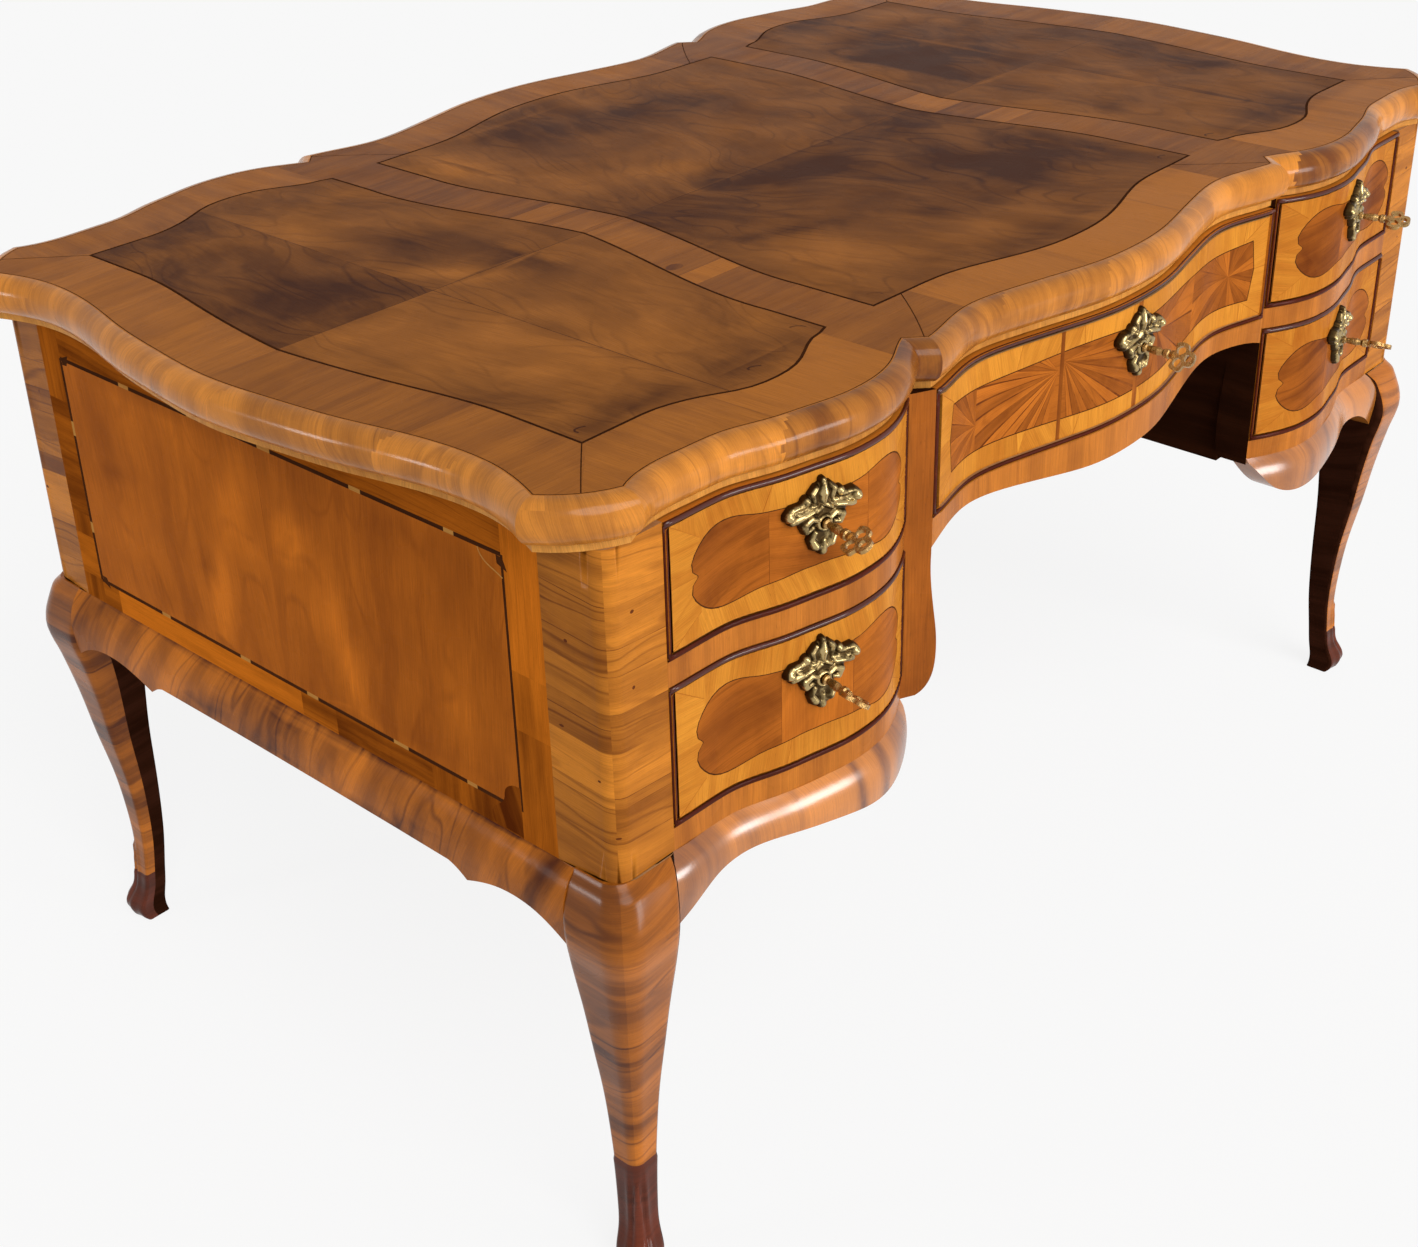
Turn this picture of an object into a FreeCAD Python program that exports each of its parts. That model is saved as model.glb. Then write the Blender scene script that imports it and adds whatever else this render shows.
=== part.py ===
import FreeCAD, Part
import math
import os
import Sketcher
from FreeCAD import Placement, Rotation, Vector

# A writing desk with a serpentine top, two pedestals of two drawers, a centre drawer over the
# kneehole and four cabriole legs.
# Frame: millimetres, +Z up, +X to the right seen from the front, the front faces -Y.
# The origin is on the floor under the middle of the space that the desk and its keys take up.

doc = FreeCAD.newDocument("writing_desk")
sheet = doc.addObject("Spreadsheet::Sheet", "Sizes")

SIZES = (
    # Whole desk
    ("desk_height", 795),
    ("case_width", 1382),
    ("case_depth", 816),
    ("top_thickness", 45),
    ("apron_seam_height", 446),
    # Plan of the front
    ("post_face_width", 69),
    ("post_side_width", 65),
    ("centre_width", 594),
    ("stile_width", 25),
    ("stile_return", 12),
    ("pedestal_swell", 33),
    ("centre_swell", 35),
    # Top
    ("crease_setback", 9),
    ("side_swell", 42),
    ("corner_flare", 10),
    ("corner_front_run", 38),
    ("corner_side_run", 23),
    ("corner_bulge", 6),
    ("notch_width", 16),
    ("nose_overhang", 17),
    ("nose_height", 39),
    ("nose_fillet", 3),
    ("mitre_reach", 60),
    # Case
    ("panel_thickness", 18),
    ("arris_radius", 16),
    ("arris_draft", 4),
    ("bottom_rail_height", 22),
    ("lower_opening_height", 135),
    ("mid_rail_height", 23),
    ("upper_opening_height", 124),
    ("rail_depth", 40),
    ("floor_thickness", 12),
    ("stile_curl", 7),
    ("stile_thickness", 20),
    # Aprons
    ("apron_height", 46),
    ("side_apron_height", 58),
    ("apron_bulge", 11),
    ("apron_knee_flare", 5),
    ("apron_thickness", 18),
    ("apron_rise", 12),
    ("kneehole_apron_height", 35),
    ("kneehole_apron_rise", 14),
    ("cusp_drop", 12),
    # Legs
    ("leg_side_setback", 7),
    ("leg_front_setback", 3),
    ("knee_bulge", 22),
    ("ankle_width", 26),
    ("knee_width", 68),
    # Drawers
    ("drawer_gap", 1.5),
    ("front_thickness", 22),
    ("bead_width", 5.5),
    ("bead_proud", 2.5),
    ("drawer_rear_space", 116),
    ("box_side_thickness", 12),
    ("box_bottom_thickness", 7),
    ("box_inset", 6),
    ("box_bottom_rise", 8),
    ("box_top_drop", 22),
    ("runner_height", 16),
    ("runner_width", 26),
    ("runner_clearance", 0.5),
    # Locks and keys
    ("keyhole_drop", 51),
    ("lock_offset", 6),
    ("plate_width", 76),
    ("plate_height", 68),
    ("plate_thickness", 3),
    ("plate_bedding", 4),
    ("knob_radius", 5),
    ("lock_width", 60),
    ("lock_below_keyhole", 22),
    ("lock_thickness", 13),
    ("lock_wall", 1.5),
    ("bolt_width", 24),
    ("bolt_thickness", 4),
    ("bolt_clearance", 0.4),
    ("bolt_throw", 12),
    ("mortise_clearance", 1.5),
    ("key_projection", 62),
    ("shank_radius", 2.6),
    ("shank_clearance", 0.1),
    ("collar_radius", 4.6),
    ("bow_width", 28),
    ("bow_length", 25),
    ("bow_thickness", 4),
    ("bit_height", 8),
    ("bit_thickness", 3),
)

for row, (alias, value) in enumerate(SIZES, start=1):
    sheet.set("A%d" % row, alias)
    sheet.set("B%d" % row, str(value))
    sheet.setAlias("B%d" % row, alias)
doc.recompute()


class Size:
    """The driving dimensions by name, read from the sheet."""

    def __getattr__(self, alias):
        return float(sheet.get(alias))


s = Size()

# Places that follow from the driving dimensions, as expressions that the pieces are bound to
CASE_SIDE = "(Sizes.case_width / 2)"
CASE_FRONT = "(Sizes.case_depth / 2)"
POST_INNER = "(%s - Sizes.post_face_width)" % CASE_SIDE
POST_BACK = "(%s - Sizes.post_side_width)" % CASE_FRONT
PANEL_INNER = "(%s - Sizes.panel_thickness)" % CASE_SIDE
CENTRE_EDGE = "(Sizes.centre_width / 2)"
STILE_OUTER = "(%s + Sizes.stile_width)" % CENTRE_EDGE
STILE_BACK = "(%s - Sizes.stile_thickness)" % CASE_FRONT
TOP_UNDERSIDE = "(Sizes.desk_height - Sizes.top_thickness)"
FLOOR_TOP = "(Sizes.apron_seam_height + Sizes.floor_thickness)"
LOWER_OPENING_BASE = "(Sizes.apron_seam_height + Sizes.bottom_rail_height)"
# The two openings share what the rails leave of the case in the ratio of their own heights
OPENINGS_HEIGHT = "(%s - %s - Sizes.mid_rail_height)" % (TOP_UNDERSIDE, LOWER_OPENING_BASE)
BOTH_OPENINGS = "(Sizes.lower_opening_height + Sizes.upper_opening_height)"
LOWER_OPENING_HEIGHT = "(%s * Sizes.lower_opening_height / %s)" % (OPENINGS_HEIGHT, BOTH_OPENINGS)
MID_RAIL_BASE = "(%s + %s)" % (LOWER_OPENING_BASE, LOWER_OPENING_HEIGHT)
UPPER_OPENING_BASE = "(%s + Sizes.mid_rail_height)" % MID_RAIL_BASE
DRAWER_END = "(%s - Sizes.drawer_rear_space)" % CASE_FRONT
BOX_SIDE_GAP = "(Sizes.drawer_gap + Sizes.box_inset)"


def measure(expression):
    """Value of an expression of the sheet."""
    return float(sheet.evalExpression(expression))


case_side = measure(CASE_SIDE)
case_front = measure(CASE_FRONT)
post_inner = measure(POST_INNER)
post_back = measure(POST_BACK)
panel_inner = measure(PANEL_INNER)
centre_edge = measure(CENTRE_EDGE)
stile_outer = measure(STILE_OUTER)
stile_back = measure(STILE_BACK)
top_underside = measure(TOP_UNDERSIDE)
lower_opening_base = measure(LOWER_OPENING_BASE)
mid_rail_base = measure(MID_RAIL_BASE)
upper_opening_base = measure(UPPER_OPENING_BASE)
drawer_end = measure(DRAWER_END)
rail_back = case_front - s.rail_depth
seam = s.apron_seam_height

# Front plans: shares of the width from the post to the stile, or from the middle to the stile,
# with the share of the swell reached there
PEDESTAL_PLAN_SHARES = (
    (0.00, 0.00), (0.14, 0.03), (0.25, 0.11), (0.39, 0.51), (0.50, 0.74),
    (0.61, 0.95), (0.70, 1.00), (0.81, 0.89), (0.90, 0.61), (1.00, 0.12),
)
CENTRE_PLAN_SHARES = (
    (0.00, 1.00), (0.20, 0.87), (0.36, 0.57), (0.51, 0.27), (0.64, 0.05),
    (0.72, 0.00), (0.80, 0.07), (0.88, 0.23), (1.00, 0.46),
)
# Side of the top: share of the way from the middle to the corner, share of the side swell
SIDE_PLAN_SHARES = (
    (0.00, 1.00), (0.22, 0.84), (0.41, 0.60), (0.59, 0.26), (0.74, 0.10),
    (0.85, 0.14), (0.93, 0.30), (1.00, 0.52),
)


def spline_through(points):
    curve = Part.BSplineCurve()
    curve.interpolate(points)
    return curve


def pedestal_points():
    """Front plan of the right pedestal, from the post to the stile."""
    run = post_inner - stile_outer
    return [
        Vector(post_inner - share * run, -case_front - s.pedestal_swell * swell, 0)
        for share, swell in PEDESTAL_PLAN_SHARES
    ]


def centre_points():
    """Front plan of the centre, from the left stile to the right one."""
    right = [
        Vector(centre_edge * share, -case_front - s.centre_swell * swell, 0)
        for share, swell in CENTRE_PLAN_SHARES
    ]
    left = [Vector(-point.x, point.y, 0) for point in reversed(right[1:])]
    return left + right


pedestal_curve = spline_through(list(reversed(pedestal_points())))
centre_curve = spline_through(centre_points())


def place_on(curve, x):
    """Parameter where a plan curve that runs towards +X passes a given x."""
    low, high = curve.FirstParameter, curve.LastParameter
    for _ in range(60):
        middle = (low + high) / 2
        if curve.value(middle).x < x:
            low = middle
        else:
            high = middle
    return (low + high) / 2


def front_at(curve, x):
    return curve.value(place_on(curve, x)).y


def run_of(curve, x_low, x_high):
    return curve.toShape(place_on(curve, x_low), place_on(curve, x_high))


def outline_prism(points, z_low, z_high):
    """Upright prism over a closed outline of straight lines."""
    wire = Part.makePolygon([Vector(x, y, z_low) for x, y in points + points[:1]])
    return Part.Face(wire).extrude(Vector(0, 0, z_high - z_low))


def swept_slab(curve, x_low, x_high, inward_front, inward_back, z_low, z_high):
    """Upright slab between a plan curve moved inwards by two distances."""
    front = run_of(curve, x_low, x_high)
    back = front.copy()
    front.translate(Vector(0, inward_front, z_low))
    back.translate(Vector(0, inward_back, z_low))
    ends = [
        Part.makeLine(front.Vertexes[end].Point, back.Vertexes[end].Point) for end in (0, 1)
    ]
    wire = Part.Wire(Part.__sortEdges__([front, ends[1], back, ends[0]]))
    return Part.Face(wire).extrude(Vector(0, 0, z_high - z_low))


def flat_backed_slab(curve, x_low, x_high, y_back, z_low, z_high):
    """Upright slab with the plan curve in front and a straight back."""
    front = run_of(curve, x_low, x_high)
    front.translate(Vector(0, 0, z_low))
    start, end = (vertex.Point for vertex in front.Vertexes)
    back_start = Vector(start.x, y_back, z_low)
    back_end = Vector(end.x, y_back, z_low)
    lines = [
        Part.makeLine(end, back_end),
        Part.makeLine(back_end, back_start),
        Part.makeLine(back_start, start),
    ]
    wire = Part.Wire(Part.__sortEdges__([front] + lines))
    return Part.Face(wire).extrude(Vector(0, 0, z_high - z_low))


def block(x_low, x_high, y_low, y_high, z_low, z_high):
    return Part.makeBox(
        x_high - x_low, y_high - y_low, z_high - z_low, Vector(x_low, y_low, z_low)
    )


def mirrored_x(shape):
    return shape.mirror(Vector(0, 0, 0), Vector(1, 0, 0))


def mirrored_y(shape):
    return shape.mirror(Vector(0, 0, 0), Vector(0, 1, 0))


# The keys reach further out in front than the top does behind: the origin is midway
key_reach = -front_at(centre_curve, 0) + s.plate_thickness + s.key_projection
nose_reach = (
    case_front + max(s.pedestal_swell, s.centre_swell) - s.crease_setback + s.nose_overhang
)
desk_place = Placement(Vector(0, (key_reach - nose_reach) / 2, 0), Rotation())
pieces = []


def piece(name, shape):
    """A sub-part whose shape is computed from the sizes."""
    part = doc.addObject("Part::Feature", name)
    part.Label = name
    part.Shape = shape
    part.Placement = desk_place.multiply(shape.Placement)
    pieces.append(part)
    return part


def finish_bound(part, name, place=Placement()):
    """Label and place a sub-part that is bound to the sheet."""
    part.Label = name
    part.Placement = desk_place.multiply(place)
    pieces.append(part)
    return part


def pair(name, shape):
    """A right-hand sub-part and its mirror image on the left."""
    piece(name + "_right", shape)
    piece(name + "_left", mirrored_x(shape))


# Shares of the nose profile: outwards, and of its height above its foot
NOSE_UPPER_SHARES = ((0.0, 1.0), (0.74, 0.86), (1.0, 0.51))
NOSE_LOWER_SHARES = ((1.0, 0.51), (0.76, 0.18))
# Flare of the top beside its corners: share of the run past the post, share of the flare
CORNER_FLARE_SHARES = ((0.5, 0.3), (1.0, 1.0))


def crease_loop():
    """Plan of the flat top, anticlockwise from the front middle, as kinds with their points."""
    set_in = Vector(0, s.crease_setback, 0)
    centre = [point + set_in for point in centre_points()]
    notch = Vector(centre_edge + s.notch_width, -case_front + s.crease_setback, 0)
    pedestal = [notch] + [point + set_in for point in reversed(pedestal_points())]
    for run_share, flare_share in CORNER_FLARE_SHARES:
        pedestal.append(
            Vector(
                post_inner + s.corner_front_run * run_share,
                notch.y - s.corner_flare * flare_share,
                0,
            )
        )
    side_end = post_back + s.corner_side_run
    side_half = [
        Vector(case_side + s.side_swell * swell, side_end * share, 0)
        for share, swell in SIDE_PLAN_SHARES
    ]
    side = [Vector(point.x, -point.y, 0) for point in reversed(side_half[1:])] + side_half
    chord = side[0] - pedestal[-1]
    outwards = Vector(chord.y, -chord.x, 0).normalize()
    middle = (side[0] + pedestal[-1]) / 2 + outwards * s.corner_bulge
    front = ("spline", centre)
    quarter = [
        ("line", [centre[-1], notch]),
        ("spline", pedestal),
        ("arc", [pedestal[-1], middle, side[0]]),
    ]

    def turned(segment, x_sign, y_sign):
        kind, points = segment
        moved = [Vector(point.x * x_sign, point.y * y_sign, 0) for point in points]
        return kind, moved if x_sign == y_sign else list(reversed(moved))

    loop = [front] + quarter + [("spline", side)]
    loop += [turned(segment, 1, -1) for segment in reversed(quarter)]
    loop += [turned(front, 1, -1)]
    loop += [turned(segment, -1, -1) for segment in quarter]
    loop += [turned(("spline", side), -1, -1)]
    loop += [turned(segment, -1, 1) for segment in reversed(quarter)]
    return loop


def segment_edge(segment):
    kind, points = segment
    if kind == "line":
        return Part.makeLine(points[0], points[1])
    if kind == "arc":
        return Part.Arc(points[0], points[1], points[2]).toShape()
    return spline_through(points).toShape()


def end_tangents(edge):
    return edge.tangentAt(edge.FirstParameter), edge.tangentAt(edge.LastParameter)


def nose_profile(origin, outwards):
    """Closed bullnose section with a small fillet below, standing on the crease line."""
    foot = s.desk_height - s.nose_height

    def at(out, height):
        return Vector(origin.x, origin.y, 0) + outwards * out + Vector(0, 0, height)

    def on_nose(shares):
        return at(s.nose_overhang * shares[0], foot + s.nose_height * shares[1])

    upper = [on_nose(shares) for shares in NOSE_UPPER_SHARES]
    lower = [on_nose(shares) for shares in NOSE_LOWER_SHARES] + [at(s.nose_fillet, foot)]
    edges = [
        Part.Arc(upper[0], upper[1], upper[2]).toShape(),
        Part.Arc(lower[0], lower[1], lower[2]).toShape(),
        Part.makeLine(lower[2], at(s.nose_fillet, top_underside)),
        Part.makeLine(at(s.nose_fillet, top_underside), at(0, top_underside)),
        Part.makeLine(at(0, top_underside), upper[0]),
    ]
    return Part.Wire(edges)


def swept_length(edge):
    """Moulding along one run of the crease, longer than the run at both ends."""
    start_way, end_way = end_tangents(edge)
    start = edge.valueAt(edge.FirstParameter)
    end = edge.valueAt(edge.LastParameter)
    before = start - start_way * s.nose_overhang * 2
    after = end + end_way * s.nose_overhang * 2
    path = Part.Wire([Part.makeLine(before, start), edge, Part.makeLine(end, after)])
    outwards = Vector(start_way.y, -start_way.x, 0)
    sweep = Part.BRepOffsetAPI.MakePipeShell(path)
    sweep.setBiNormalMode(Vector(0, 0, 1))
    sweep.add(nose_profile(before, outwards))
    sweep.build()
    sweep.makeSolid()
    return sweep.shape()


def mitre_block(corner, way):
    """Block that takes away what lies past a mitre, on the side that way points to."""
    reach = s.mitre_reach
    shape = Part.makeBox(reach, reach * 2, reach * 2, Vector(0, -reach, -reach))
    turn = Rotation(Vector(0, 0, 1), math.degrees(math.atan2(way.y, way.x)))
    shape.Placement = Placement(Vector(corner.x, corner.y, top_underside), turn)
    return shape


def make_top(mortises):
    edges = [segment_edge(segment) for segment in crease_loop()]
    outline = Part.Wire(edges)
    board = Part.Face(outline).extrude(Vector(0, 0, s.top_thickness))
    board.translate(Vector(0, 0, top_underside))
    for mortise in mortises:
        board = board.cut(mortise)
    piece("top_board", board)
    lengths = []
    for index, edge in enumerate(edges):
        start_way, end_way = end_tangents(edge)
        before_way = end_tangents(edges[index - 1])[1]
        after_way = end_tangents(edges[(index + 1) % len(edges)])[0]
        length = swept_length(edge)
        start = edge.valueAt(edge.FirstParameter)
        end = edge.valueAt(edge.LastParameter)
        length = length.cut(mitre_block(start, -(start_way + before_way)))
        length = length.cut(mitre_block(end, end_way + after_way))
        lengths += length.Solids
    piece("top_edge_moulding", Part.makeCompound(lengths))


# Leg sections: share of the height to the seam, share of the knee bulge, share of the way from
# the ankle's width to the knee's
LEG_SHARES = (
    (0.000, -0.25, 0.02), (0.035, 0.00, 0.12), (0.080, -0.27, 0.03), (0.135, -0.43, 0.00),
    (0.225, -0.52, 0.04), (0.335, -0.45, 0.14), (0.450, -0.23, 0.29), (0.560, 0.12, 0.50),
    (0.670, 0.42, 0.72), (0.785, 0.82, 0.98), (0.840, 1.00, 1.07), (0.900, 1.00, 1.12),
    (0.945, 0.77, 1.10), (0.980, 0.48, 1.05), (1.000, 0.25, 1.00),
)
OUTER_ROUND_SHARE = 0.38
INNER_ROUND_SHARE = 0.12


def leg_wire(height_share, bulge_share, width_share):
    """Rounded square section of the right front leg, softer on its outer corner."""
    z = seam * height_share
    width = s.ankle_width + (s.knee_width - s.ankle_width) * width_share
    right = case_side - s.leg_side_setback + s.knee_bulge * bulge_share
    front = s.leg_front_setback - case_front - s.knee_bulge * bulge_share
    outer = width * OUTER_ROUND_SHARE
    inner = width * INNER_ROUND_SHARE
    corners = (
        (right - outer, front + outer, outer, -90),
        (right - inner, front + width - inner, inner, 0),
        (right - width + inner, front + width - inner, inner, 90),
        (right - width + inner, front + inner, inner, 180),
    )
    edges = []
    for x, y, radius, angle in corners:
        circle = Part.Circle(Vector(x, y, z), Vector(0, 0, 1), radius)
        arc = Part.Arc(circle, math.radians(angle), math.radians(angle + 90)).toShape()
        if edges:
            edges.append(Part.makeLine(edges[-1].valueAt(edges[-1].LastParameter),
                                       arc.valueAt(arc.FirstParameter)))
        edges.append(arc)
    edges.append(Part.makeLine(edges[-1].valueAt(edges[-1].LastParameter),
                               edges[0].valueAt(edges[0].FirstParameter)))
    return Part.Wire(edges)


def post_shape():
    """Corner post above the right front leg, with a soft arris."""
    side_x = case_side - s.arris_draft
    centre = Vector(side_x - s.arris_radius, -case_front + s.arris_radius, seam)
    half_way = math.radians(45)
    middle = centre + Vector(math.cos(half_way), -math.sin(half_way), 0) * s.arris_radius
    points = [
        Vector(centre.x, -case_front, seam),
        Vector(post_inner, -case_front, seam),
        Vector(post_inner, -post_back, seam),
        Vector(case_side, -post_back, seam),
        Vector(side_x, centre.y, seam),
    ]
    edges = [Part.makeLine(one, other) for one, other in zip(points, points[1:])]
    edges.append(Part.Arc(points[-1], middle, points[0]).toShape())
    return Part.Face(Part.Wire(edges)).extrude(Vector(0, 0, top_underside - seam))


def make_legs():
    lower = Part.makeLoft([leg_wire(*shares) for shares in LEG_SHARES], True, False)
    leg = lower.fuse(post_shape())
    piece("front_right_leg", leg)
    piece("front_left_leg", mirrored_x(leg))
    piece("back_right_leg", mirrored_y(leg))
    piece("back_left_leg", mirrored_y(mirrored_x(leg)))
    return leg


# Apron section: share of the apron's height below the seam, share of its bulge
APRON_SECTION_SHARES = (
    (0.00, 0.00), (0.12, 0.38), (0.30, 0.76), (0.60, 1.00), (1.00, 0.95), (1.70, 0.70),
)
# Lower edges: share of the run, share of the rise or drop
FRONT_EDGE_SHARES = (
    (-0.08, -2.60), (-0.01, -1.33), (0.057, -0.17), (0.123, 0.58), (0.21, 0.92), (0.34, 0.92),
    (0.47, 0.58), (0.61, 0.08), (0.74, -0.33), (0.833, -0.17), (0.907, 0.58), (0.957, 1.83),
    (1.02, 4.20),
)
SIDE_CUSP_SHARES = ((0.59, 0.0), (0.62, -0.35), (0.65, -1.0))
SIDE_ARCH_SHARES = (
    (0.65, -1.0), (0.70, -0.35), (0.77, 0.30), (0.84, 0.50), (0.91, 0.20), (0.96, -0.45),
    (1.02, -1.70),
)
KNEEHOLE_EDGE_SHARES = (
    (0.0, 0.0), (0.17, 0.04), (0.34, 0.30), (0.50, 0.65), (0.68, 0.93), (0.82, 1.0),
    (0.93, 0.85), (1.02, 0.30),
)
SIDE_STATION_SHARES = ((-1.0, 1.0), (-0.72, 0.35), (-0.3, 0.0), (0.3, 0.0), (0.72, 0.35), (1.0, 1.0))
FRONT_STATION_SHARES = (
    (-0.10, 1.0), (0.00, 0.8), (0.12, 0.4), (0.25, 0.2), (0.40, 0.0), (0.55, 0.0), (0.70, 0.0),
    (0.82, 0.0), (0.91, 0.0), (1.00, 0.0),
)


def apron_wire(height, bulge, base, outwards):
    """Upright section of an apron with its bulging outer face."""
    outer = [
        base + outwards * (bulge * out) - Vector(0, 0, height * down)
        for down, out in APRON_SECTION_SHARES
    ]
    inner_top = base - outwards * s.apron_thickness
    inner_low = Vector(inner_top.x, inner_top.y, outer[-1].z)
    return Part.Wire([
        spline_through(outer).toShape(),
        Part.makeLine(outer[-1], inner_low),
        Part.makeLine(inner_low, inner_top),
        Part.makeLine(inner_top, outer[0]),
    ])


def below_edge(runs, low_z, push):
    """Solid under a shaped lower edge, pushed through the thickness of a piece."""
    edges = [spline_through(points).toShape() if len(points) > 2 else Part.makeLine(*points)
             for points in runs]
    start = runs[0][0]
    end = runs[-1][-1]
    low_start = Vector(start.x, start.y, low_z)
    low_end = Vector(end.x, end.y, low_z)
    edges += [
        Part.makeLine(end, low_end),
        Part.makeLine(low_end, low_start),
        Part.makeLine(low_start, start),
    ]
    return Part.Face(Part.Wire(edges)).extrude(push)


def make_side_aprons(leg):
    reach = post_back + s.apron_thickness
    base_z = seam - s.side_apron_height
    sections = []
    for share, flare in SIDE_STATION_SHARES:
        base = Vector(case_side, reach * share, seam)
        bulge = s.apron_bulge + s.apron_knee_flare * flare
        sections.append(apron_wire(s.side_apron_height, bulge, base, Vector(1, 0, 0)))
    apron = Part.makeLoft(sections, True, False)

    def run(shares, sign):
        return [Vector(0, reach * share * sign, base_z + s.cusp_drop * rise)
                for share, rise in shares]

    left_arch = list(reversed(run(SIDE_ARCH_SHARES, -1)))
    left_cusp = list(reversed(run(SIDE_CUSP_SHARES, -1)))
    right_cusp = run(SIDE_CUSP_SHARES, 1)
    right_arch = run(SIDE_ARCH_SHARES, 1)
    runs = [left_arch, left_cusp, [left_cusp[-1], right_cusp[0]], right_cusp, right_arch]
    apron = apron.cut(below_edge(runs, 0, Vector(s.case_width, 0, 0)))
    apron = apron.cut(leg).cut(mirrored_y(leg))
    pair("side_apron", apron)


def make_front_aprons(leg):
    run = post_inner - stile_outer
    sections = []
    for share, flare in FRONT_STATION_SHARES:
        x = post_inner - run * share
        y = front_at(pedestal_curve, x) if share >= 0 else -case_front
        bulge = s.apron_bulge + s.apron_knee_flare * flare
        base = Vector(x, y, seam)
        sections.append(apron_wire(s.apron_height, bulge, base, Vector(0, -1, 0)))
    apron = Part.makeLoft(sections, True, False)
    base_z = seam - s.apron_height
    edge = [Vector(post_inner - run * share, 0, base_z + s.apron_rise * rise)
            for share, rise in FRONT_EDGE_SHARES]
    apron = apron.cut(below_edge([edge], 0, Vector(0, -s.case_depth, 0)))
    apron = apron.cut(leg)
    pair("front_apron", apron)
    pair("back_apron", mirrored_y(apron))


def make_kneehole_apron():
    top = upper_opening_base
    base_z = top - s.kneehole_apron_height
    apron = swept_slab(centre_curve, -centre_edge, centre_edge, 0, s.apron_thickness, base_z, top)
    half = [Vector(centre_edge * share, 0, base_z + s.kneehole_apron_rise * rise)
            for share, rise in KNEEHOLE_EDGE_SHARES]
    edge = [Vector(-point.x, 0, point.z) for point in reversed(half[1:])] + half
    apron = apron.cut(below_edge([edge], 0, Vector(0, -s.case_depth, 0)))
    piece("kneehole_apron", apron)
    back = swept_slab(
        centre_curve, -centre_edge, centre_edge, 0, s.panel_thickness, base_z, top_underside
    )
    back = back.cut(below_edge([edge], 0, Vector(0, -s.case_depth, 0)))
    piece("back_panel_centre", mirrored_y(back))


# Inner edge of a kneehole stile: share of the height from its foot to the kneehole apron, share
# of the curl into the kneehole
STILE_EDGE_SHARES = (
    (0.00, -1.6), (0.05, -0.2), (0.12, 0.55), (0.25, 1.0), (0.40, 1.0), (0.60, 0.55),
    (0.80, 0.10), (1.00, 0.0),
)


def make_kneehole_stiles():
    edge_top = upper_opening_base - s.kneehole_apron_height
    edge = [
        Vector(centre_edge - s.stile_curl * curl, 0, seam + (edge_top - seam) * share)
        for share, curl in STILE_EDGE_SHARES
    ]
    corner = Vector(centre_edge, 0, top_underside)
    outer_top = Vector(stile_outer, 0, top_underside)
    outer_foot = Vector(stile_outer, 0, seam)
    wire = Part.Wire([
        spline_through(edge).toShape(),
        Part.makeLine(edge[-1], corner),
        Part.makeLine(corner, outer_top),
        Part.makeLine(outer_top, outer_foot),
        Part.makeLine(outer_foot, edge[0]),
    ])
    elevation = Part.Face(wire).extrude(Vector(0, -s.case_depth, 0))
    outer_y = front_at(pedestal_curve, stile_outer)
    slope = s.stile_return / s.stile_width
    inner_x = centre_edge - s.stile_width
    inner_y = outer_y - (stile_outer - inner_x) * slope
    plan = outline_prism(
        [(inner_x, inner_y), (stile_outer, outer_y), (stile_outer, -stile_back),
         (inner_x, -stile_back)],
        0, s.desk_height,
    )
    pair("kneehole_stile", elevation.common(plan))


def make_back_panels():
    panel = swept_slab(
        pedestal_curve, stile_outer, post_inner, 0, s.panel_thickness, seam, top_underside
    )
    pair("back_panel", mirrored_y(panel))


def make_rails(mortise):
    mid = flat_backed_slab(
        pedestal_curve, stile_outer, post_inner, -rail_back, mid_rail_base, upper_opening_base
    )
    bottom = flat_backed_slab(
        pedestal_curve, stile_outer, post_inner, -rail_back, seam, lower_opening_base
    )
    pair("mid_rail", mid.cut(mortise))
    pair("bottom_rail", bottom)


def bound_block(name, x, y, z):
    """Box bound to the sheet: each of x, y and z is a low and a high expression."""
    box = doc.addObject("Part::Box", name)
    for axis, length, (low, high) in zip("xyz", ("Length", "Width", "Height"), (x, y, z)):
        box.setExpression(length, "%s - (%s)" % (high, low))
        box.setExpression("Placement.Base." + axis, low)
    return box


def origin_plane(body, role):
    return next(part for part in body.Origin.OriginFeatures if part.Role == role)


def rectangle(body, name, role, offset, sides):
    """Sketch of a rectangle on an origin plane; its sides and its offset are expressions."""
    sketch = body.newObject("Sketcher::SketchObject", name)
    sketch.AttachmentSupport = [(origin_plane(body, role), "")]
    sketch.MapMode = "FlatFace"
    sketch.setExpression("AttachmentOffset.Base.z", offset)
    left, right, low, high = (measure(side) for side in sides)
    corners = [Vector(left, low, 0), Vector(right, low, 0), Vector(right, high, 0),
               Vector(left, high, 0)]
    for start, end in zip(corners, corners[1:] + corners[:1]):
        sketch.addGeometry(Part.LineSegment(start, end), False)
    for line in range(4):
        sketch.addConstraint(Sketcher.Constraint("Coincident", line, 2, (line + 1) % 4, 1))
    for line, way in enumerate(("Horizontal", "Vertical", "Horizontal", "Vertical")):
        sketch.addConstraint(Sketcher.Constraint(way, line))
    placed = (
        ("DistanceX", 0, left, sides[0]), ("DistanceX", 2, right, sides[1]),
        ("DistanceY", 0, low, sides[2]), ("DistanceY", 2, high, sides[3]),
    )
    for way, line, value, expression in placed:
        index = sketch.addConstraint(Sketcher.Constraint(way, -1, 1, line, 1, value))
        sketch.setExpression("Constraints[%d]" % index, expression)
    return sketch


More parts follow.
